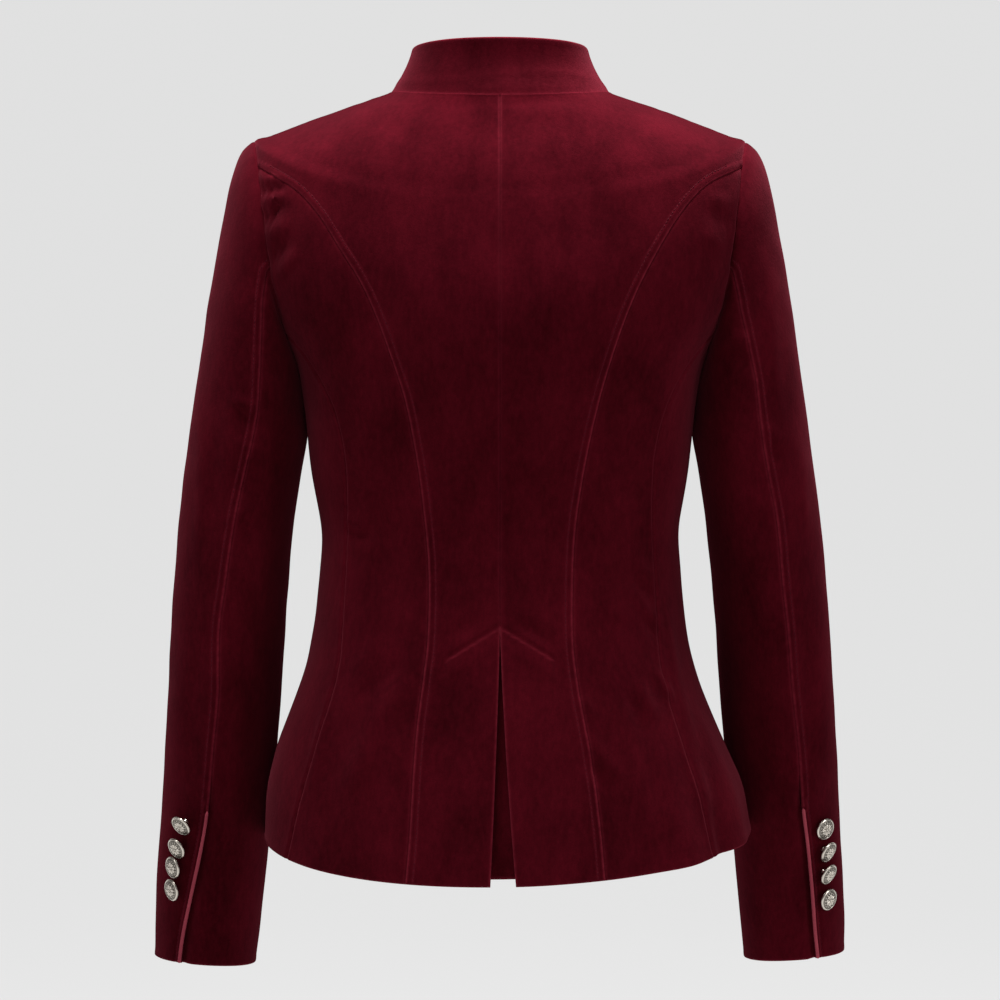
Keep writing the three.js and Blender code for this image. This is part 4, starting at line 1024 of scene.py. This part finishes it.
def build_piping(side, seam_at, seed):
    """The piped edge of the cuff vent: a round bead whose top end is tucked in."""
    at = np.linspace(VENT_START + 1, SLEEVE_LENGTH - 0.3, 120)
    angle = np.linspace(0, 2 * math.pi, 17)[:-1]
    full = smoothstep(at, VENT_START + 1, VENT_START + 5)
    full *= 1 - 0.6 * smoothstep(at, SLEEVE_LENGTH - 1.2, SLEEVE_LENGTH - 0.3)
    wobble = 1 + 0.05 * waves(vector(at, seed, 0), 14, 9)
    size = (full * wobble)[:, None]
    # from just past the vent's edge to a little way onto the top sleeve
    across = lerp(0.6 * PIPING_WIDTH, (0.5 + np.cos(angle) * 0.5) * PIPING_WIDTH, size) - 0.7
    up = (0.5 + np.sin(angle) * 0.9) * PIPING_RISE * size
    turn = seam_at(at)[:, None] - degrees_for(across, at[:, None])
    rings = np.broadcast_to(at[:, None], turn.shape)
    points = sleeve(side, turn, rings) + sleeve_normal(side, turn, rings) * up[..., None]
    name = "cuff_piping_" + side
    pieces[name] = mesh_of(name, *tube(points))
    close_holes(pieces[name])


def close_holes(made):
    mesh = bmesh.new()
    mesh.from_mesh(made.data)
    bmesh.ops.holes_fill(mesh, edges=[edge for edge in mesh.edges if edge.is_boundary])
    bmesh.ops.recalc_face_normals(mesh, faces=mesh.faces)
    mesh.to_mesh(made.data)
    mesh.free()


STITCH_LENGTH = 2.5
STITCH_PITCH = 3.1
STITCH_SWAY = 0.12
STITCH_SIDES = 5
THREAD = 0.26  # its radius
# Places along a stitch, how high its middle is there, and how thick it is
STITCH_SHAPE = np.array([(-0.5, -0.5, 0.5), (-0.4, 0.1, 1), (0, 0.35, 1.05), (0.4, 0.1, 1), (0.5, -0.5, 0.5)])


def stitches(name, lines):
    """Rows of stitches: each is a short rounded length of thread whose ends go down into the cloth."""
    angle = np.linspace(0, 2 * math.pi, STITCH_SIDES + 1)[:-1]
    along_it, height, thickness = STITCH_SHAPE.T
    all_points, all_quads, count = [], [], 0
    for points, ups in lines:
        if len(points) < 3:
            continue
        along = lengths(points)
        starts = np.arange(STITCH_PITCH, along[-1] - STITCH_PITCH / 2, STITCH_PITCH)
        for n, centre in enumerate(starts):
            keys = centre + along_it * STITCH_LENGTH
            at, up = resample(points, along, keys), unit(resample(ups, along, keys))
            forward = unit(np.broadcast_to(at[-1] - at[0], at.shape))
            across = unit(np.cross(forward, up))
            middle = at + up * (height[:, None] * THREAD * 1.6) + across * STITCH_SWAY * math.sin(n * 2.4)
            ring = across[:, None] * np.cos(angle)[:, None] + up[:, None] * np.sin(angle)[:, None]
            flat, quads = tube(middle[:, None] + ring * (THREAD * thickness)[:, None, None])
            all_points.append(flat)
            all_quads.append(quads + count)
            count += len(flat)
    return mesh_of(name, np.concatenate(all_points), np.concatenate(all_quads))


def ornament(r, angle):
    """A button's relief over its dome: a rosette within a rope and a smooth rim. r is from 0 to 1."""
    petals = abs(np.cos(4 * angle)) ** 0.6
    tip = 1 - smoothstep(r, 0.46 + 0.08 * petals, 0.54 + 0.04 * petals)
    leaf = 0.8 * petals * smoothstep(r, 0.12, 0.2) * tip
    vein = -0.45 * bump(np.sin(4 * angle), 0.2) * smoothstep(r, 0.15, 0.25) * (1 - smoothstep(r, 0.46, 0.56))
    heart = 0.8 * (1 - smoothstep(r, 0.06, 0.14))
    seeds = 0.65 * (0.5 + 0.5 * np.cos(14 * angle)) * bump(r - 0.66, 0.055)
    rope = 0.5 * (0.55 + 0.45 * np.cos(28 * angle + 40 * r)) * bump(r - 0.79, 0.045)
    rim = 0.75 * smoothstep(r, 0.87, 0.91)
    return leaf + vein + heart + seeds + rope + rim


BUTTON_RINGS = np.concatenate([np.linspace(0.02, 0.86, 34), np.linspace(0.875, 1, 7)])
BUTTON_SECTORS = 84


def button(name, foot, normal, nod, roll):
    """A domed metal button on a shank, tipped by so many degrees about the X and Z axes."""
    turned = Vector(normal)
    turned.rotate(Euler((math.radians(nod), 0, math.radians(roll)), "XYZ"))
    tipped = np.array(turned)
    slope = math.sin(math.acos(min(1, float(tipped @ normal))))
    disc = BUTTON_STANDOFF + BUTTON_RADIUS * slope
    angle = np.linspace(0, 2 * math.pi, BUTTON_SECTORS + 1)[:-1]
    rings, raised = [], []

    def ring(radius, height, bare=0.6):
        rings.append(vector(radius * np.cos(angle), radius * np.sin(angle), height))
        raised.append(np.broadcast_to(bare, angle.shape))

    # face, rim, underside and shank
    for r in BUTTON_RINGS:
        dome = BUTTON_RIM + (BUTTON_DOME - BUTTON_RIM - 0.5) * (1 - r * r) ** 0.8
        carving = ornament(r, angle)
        ring(r * (BUTTON_RADIUS - 0.35), disc + dome + 0.7 * carving - 0.35, carving / 0.7)
    for radius, height in (
        (BUTTON_RADIUS - 0.1, BUTTON_RIM),
        (BUTTON_RADIUS, BUTTON_RIM - 0.3),
        (BUTTON_RADIUS, BUTTON_RIM - 0.75),
        (BUTTON_RADIUS - 0.2, 0.2),
        (BUTTON_RADIUS - 0.7, 0.05),
        (BUTTON_RADIUS * 0.6, -0.1),
        (BUTTON_SHANK_RADIUS + 0.5, -0.1),
        (BUTTON_SHANK_RADIUS, -0.3),
        (BUTTON_SHANK_RADIUS, -disc + 0.1),
    ):
        ring(radius, disc + height)
    local = np.array(rings)
    spin = Vector((0, 0, 1)).rotation_difference(Vector(tipped)).to_matrix()
    flat, quads = tube(local @ np.array(spin).T + foot)
    made = mesh_of(name, flat, quads, np.clip(raised, 0, 1).ravel())
    close_holes(made)
    made.data.set_sharp_from_angle(angle=math.radians(60))
    pieces[name] = made


def cuff_place(side, x, z):
    """The place on a sleeve that is at x and z, seen from behind."""
    surface = partial(sleeve, side)
    return solve(surface, 45.0, -z - 12, lambda point: (abs(point[..., 0]) - x, point[..., 2] - z))


def build_cuff_buttons(side):
    """The buttons, and beside each the worked bar of its buttonhole: two short rows of stitches."""
    for i, (x, z, roll, nod) in enumerate(zip(*CUFF_BUTTONS[side].values()), 1):
        turn, at = cuff_place(side, x, z)
        foot, normal = sleeve(side, turn, at), sleeve_normal(side, turn, at)
        button(f"cuff_button_{side}_{i}", foot, normal, nod, roll * SIDES[side])
        turns = np.linspace(turn + 2, turn - degrees_for(BUTTONHOLE, at), 12)
        for offset in (-1.1, 1.1):
            ups = sleeve_normal(side, turns, np.full(12, at - offset))
            stitch_lines[side].append((sleeve(side, turns, at - offset) + 0.15 * ups, ups))


def build_front_buttons():
    for i in range(FRONT_BUTTONS):
        z = FRONT_BUTTON_TOP - i * FRONT_BUTTON_STEP
        place = solve(body, 0.995, z, lambda point: (point[..., 0] - 0.5, point[..., 2] - z))
        button(f"front_button_{i + 1}", body(*place), body_normal(*place), 0, 0)


for side, seed in BODY_SEEDS.items():
    seams = body_seams(side)
    for build in (build_back, build_side_back, build_side, build_front):
        build(side, seams, seed)
build_underlay()
build_collar()
for side in SIDES:
    build_sleeve(side)
    build_cuff_buttons(side)
    pieces["stitching_" + side] = stitches("stitching_" + side, stitch_lines[side])
build_front_buttons()


# Materials
class Look:
    """A material's nodes, by short names."""

    def __init__(self, name):
        self.material = bpy.data.materials.new(name)
        self.material.use_nodes = True
        self.tree = self.material.node_tree
        self.tree.nodes.clear()
        output = self.tree.nodes.new("ShaderNodeOutputMaterial")
        self.shader = self.tree.nodes.new("ShaderNodeBsdfPrincipled")
        self.tree.links.new(self.shader.outputs[0], output.inputs["Surface"])
        self.where = self.node("TexCoord").outputs["Object"]

    def feed(self, node, inputs):
        for key, value in inputs.items():
            if isinstance(value, bpy.types.NodeSocket):
                self.tree.links.new(value, node.inputs[key])
            else:
                node.inputs[key].default_value = value

    def node(self, kind, inputs=(), **settings):
        node = self.tree.nodes.new("ShaderNode" + kind)
        for key, value in settings.items():
            setattr(node, key, value)
        self.feed(node, dict(inputs))
        return node

    def noise(self, scale, detail=2.0, roughness=0.5, where=None):
        where = self.where if where is None else where
        inputs = {"Vector": where, "Scale": scale, "Detail": detail, "Roughness": roughness}
        return self.node("TexNoise", inputs).outputs[0]

    def wave(self, scale, direction):
        inputs = {"Vector": self.where, "Scale": scale, "Distortion": 1.5}
        return self.node("TexWave", inputs, bands_direction=direction).outputs[1]

    def ramp(self, value, low, high, out_low=0.0, out_high=1.0):
        return self.node("MapRange", {0: value, 1: low, 2: high, 3: out_low, 4: out_high}).outputs[0]

    def mix(self, share, a, b):
        return self.node("Mix", {0: share, 6: a, 7: b}, data_type="RGBA").outputs[2]

    def times(self, a, b):
        return self.node("Math", {0: a, 1: b}, operation="MULTIPLY").outputs[0]

    def blend(self, *parts):
        """The sum of values, each times its share."""
        first, *others = [value if share == 1 else self.times(value, share) for value, share in parts]
        for part in others:
            first = self.node("Math", {0: first, 1: part}, operation="ADD").outputs[0]
        return first

    # Each point's lighter colour: on the velvet pile rubbed open and painted highlight, on the buttons bare
    # rubbed metal.
    def wear_and_sheen(self):
        return self.node("Attribute", attribute_name="wear_and_sheen").outputs["Fac"]

    def finish(self, height, strength, distance, inputs):
        """Sets the shader's inputs and gives it a fine bump, and returns the material."""
        if height is not None:
            relief = self.node("Bump", {"Height": height, "Strength": strength, "Distance": distance})
            inputs = {"Normal": relief.outputs[0], **inputs}
        self.feed(self.shader, inputs)
        return self.material


def velvet(name, deep, mid, open_pile_and_highlight):
    """Short cotton velvet: dark where the pile stands, lighter where it lies over, lighter still where the
    pile is rubbed open and where a painted highlight runs along seams and edges, and darkened by painted
    shade where it turns edge-on.
    """
    look = Look(name)
    # the nap runs down the cloth, so its marks are longer that way
    along = look.node("Mapping", {"Vector": look.where, "Scale": (1, 1, 0.45)}).outputs[0]
    strokes = look.ramp(look.noise(34, 3, 0.6, along), 0.36, 0.66)
    cloud = look.ramp(look.noise(11), 0.35, 0.65)
    fleck = look.ramp(look.noise(300, 3, 0.7, along), 0.3, 0.72)
    fibre = look.noise(1500, 2, 0.7)
    tone = look.mix(look.blend((strokes, 0.36), (cloud, 0.24), (fleck, 0.36)), deep, mid)
    tone = look.mix(look.ramp(fibre, 0.35, 0.75, 0, 0.35), tone, deep)
    # painted shade: the colour darkens towards the deepest tone where the surface turns edge-on to the camera
    silhouette_shade = look.node("LayerWeight", {"Blend": 0.4}).outputs["Facing"]
    tone = look.mix(look.ramp(silhouette_shade, 0.45, 0.95, 0, 0.9), tone, deep)
    # painted highlight and rubbed pile along seams, edges and folds, mixed towards the third colour
    wear_and_sheen_share = look.times(look.wear_and_sheen(), look.ramp(look.noise(260, 2, 0.6), 0.3, 0.7, 0.27, 0.6))
    inputs = {
        "Base Color": look.mix(wear_and_sheen_share, tone, open_pile_and_highlight),
        "Roughness": look.ramp(strokes, 0, 1, 0.78, 0.95),
        "Specular IOR Level": 0.0,
        "Sheen Weight": 0.13,
        "Sheen Roughness": 0.55,
        "Sheen Tint": (0.9, 0.15, 0.22, 1),
    }
    return look.finish(look.blend((fibre, 0.5), (look.noise(420, 3, 0.6), 1)), 0.35, 0.0007, inputs)


def woven(name, dark, light):
    """The plain woven wrong side of the cloth."""
    look = Look(name)
    weave = look.times(look.wave(900, "Z"), look.wave(900, "X"))
    tone = look.mix(look.blend((weave, 0.6), (look.noise(40), 0.4)), dark, light)
    return look.finish(weave, 0.3, 0.0003, {"Base Color": tone, "Roughness": 0.92, "Specular IOR Level": 0.1})


def thread(name, dark, light):
    look = Look(name)
    twist = look.noise(1800, 2, 0.6)
    tone = look.mix(look.ramp(twist, 0.3, 0.7), dark, light)
    return look.finish(twist, 0.4, 0.0002, {"Base Color": tone, "Roughness": 0.6, "Specular IOR Level": 0.05})


def antique_metal(name):
    """Cast silver-tone metal, bright where it is rubbed and dark in its hollows."""
    look = Look(name)
    patina = look.noise(900, 3, 0.6)
    share = look.blend((look.ramp(look.wear_and_sheen(), 0.12, 0.75), 0.85), (patina, 0.2))
    inputs = {
        "Base Color": look.mix(share, (0.03, 0.025, 0.02, 1), (0.72, 0.66, 0.58, 1)),
        "Roughness": look.ramp(share, 0, 1, 0.5, 0.24),
        "Metallic": 1.0,
    }
    return look.finish(patina, 0.25, 0.0003, inputs)


# Colours of the standing pile, the pile that lies over, and the pile rubbed open, which is also the painted
# highlight along seams and edges
VELVET = velvet("velvet", (0.024, 0.0006, 0.0021, 1), (0.086, 0.0033, 0.0084, 1), (0.24, 0.018, 0.034, 1))
WRONG_SIDE = woven("velvet_wrong_side", (0.03, 0.003, 0.006, 1), (0.07, 0.008, 0.014, 1))
PIPING = velvet("piping", (0.26, 0.04, 0.06, 1), (0.42, 0.075, 0.1, 1), (0.5, 0.1, 0.13, 1))
THREAD_CLOTH = thread("thread", (0.045, 0.002, 0.006, 1), (0.1, 0.006, 0.014, 1))
METAL = antique_metal("antique_metal")

# Each kind of piece: how its name starts, its slot, and the materials of its right and wrong sides
LOOKS = [
    (("cuff_button", "front_button"), "antique_silver", [METAL]),
    (("cuff_piping",), "piping", [PIPING]),
    (("stitching",), "velvet", [THREAD_CLOTH]),
    (("collar",), "velvet", [VELVET, VELVET]),
    (("",), "velvet", [VELVET, WRONG_SIDE]),
]
for name, made in pieces.items():
    slot, materials = next(look[1:] for look in LOOKS if name.startswith(look[0]))
    for material in materials:
        made.data.materials.append(material)
    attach(made, "root")
    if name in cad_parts:
        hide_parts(name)

# Camera, floor and light
camera = bpy.data.objects.new("camera", bpy.data.cameras.new("camera"))
bpy.context.scene.collection.objects.link(camera)
camera.location = (0, -2.5, -0.306)
camera.rotation_euler = (math.radians(90), 0, 0)
camera.data.lens = 120
camera.data.sensor_width = 36
camera.data.clip_end = 60
bpy.context.scene.camera = camera

FLOOR_Z = -0.9
BACKDROP_GLOW = 0.71


def backdrop():
    """A floor that curves up into a wall behind the jacket."""
    profile = [(-6.0, 0.0), (2.2, 0.0)]
    turns = np.linspace(0.1, math.pi / 2, 16)
    profile += [(2.2 + 1.6 * math.sin(a), 1.6 - 1.6 * math.cos(a)) for a in turns]
    profile += [(3.8, 5.0)]
    y, z = np.array(profile).T
    x = np.linspace(-7, 7, 9)
    points = vector(x[None, :], y[:, None], z[:, None] + FLOOR_Z) / METRE
    made = mesh_of("backdrop", points.reshape(-1, 3), grid_quads(*points.shape[:2]))
    look = Look("backdrop")
    inputs = {
        "Base Color": look.mix(look.noise(3), (0.08, 0.08, 0.08, 1), (0.084, 0.084, 0.084, 1)),
        "Roughness": 0.95,
        "Specular IOR Level": 0.0,
        "Emission Color": (1, 1, 1, 1),
        "Emission Strength": BACKDROP_GLOW,
    }
    made.data.materials.append(look.finish(None, 0, 0, inputs))


def softbox(name, place, aim, size, power):
    light = bpy.data.lights.new(name, "AREA")
    light.shape = "RECTANGLE"
    light.size, light.size_y = size
    light.energy = power
    made = bpy.data.objects.new(name, light)
    bpy.context.scene.collection.objects.link(made)
    made.location = place
    made.rotation_euler = (Vector(aim) - Vector(place)).to_track_quat("-Z", "Y").to_euler()


backdrop()
softbox("key", (0.05, -0.04, 1.35), (0, 0, -0.2), (1.4, 0.4), 76)
softbox("fill", (0.2, -3.2, 1.1), (0, 0, -0.35), (2.0, 1.6), 6)
softbox("right", (2.3, -1.3, 0.4), (0, 0, -0.35), (0.7, 1.6), 18)
softbox("left", (-2.3, -1.3, 0.4), (0, 0, -0.35), (0.7, 1.6), 6)
softbox("front_side", (0, 2.6, 1.2), (0, 0, -0.3), (2.4, 1.6), 12)

world = bpy.data.worlds.new("studio")
world.use_nodes = True
world.node_tree.nodes["Background"].inputs[0].default_value = (1, 1, 1, 1)
world.node_tree.nodes["Background"].inputs[1].default_value = 0.08
bpy.context.scene.world = world
bpy.context.scene.view_settings.view_transform = "Standard"
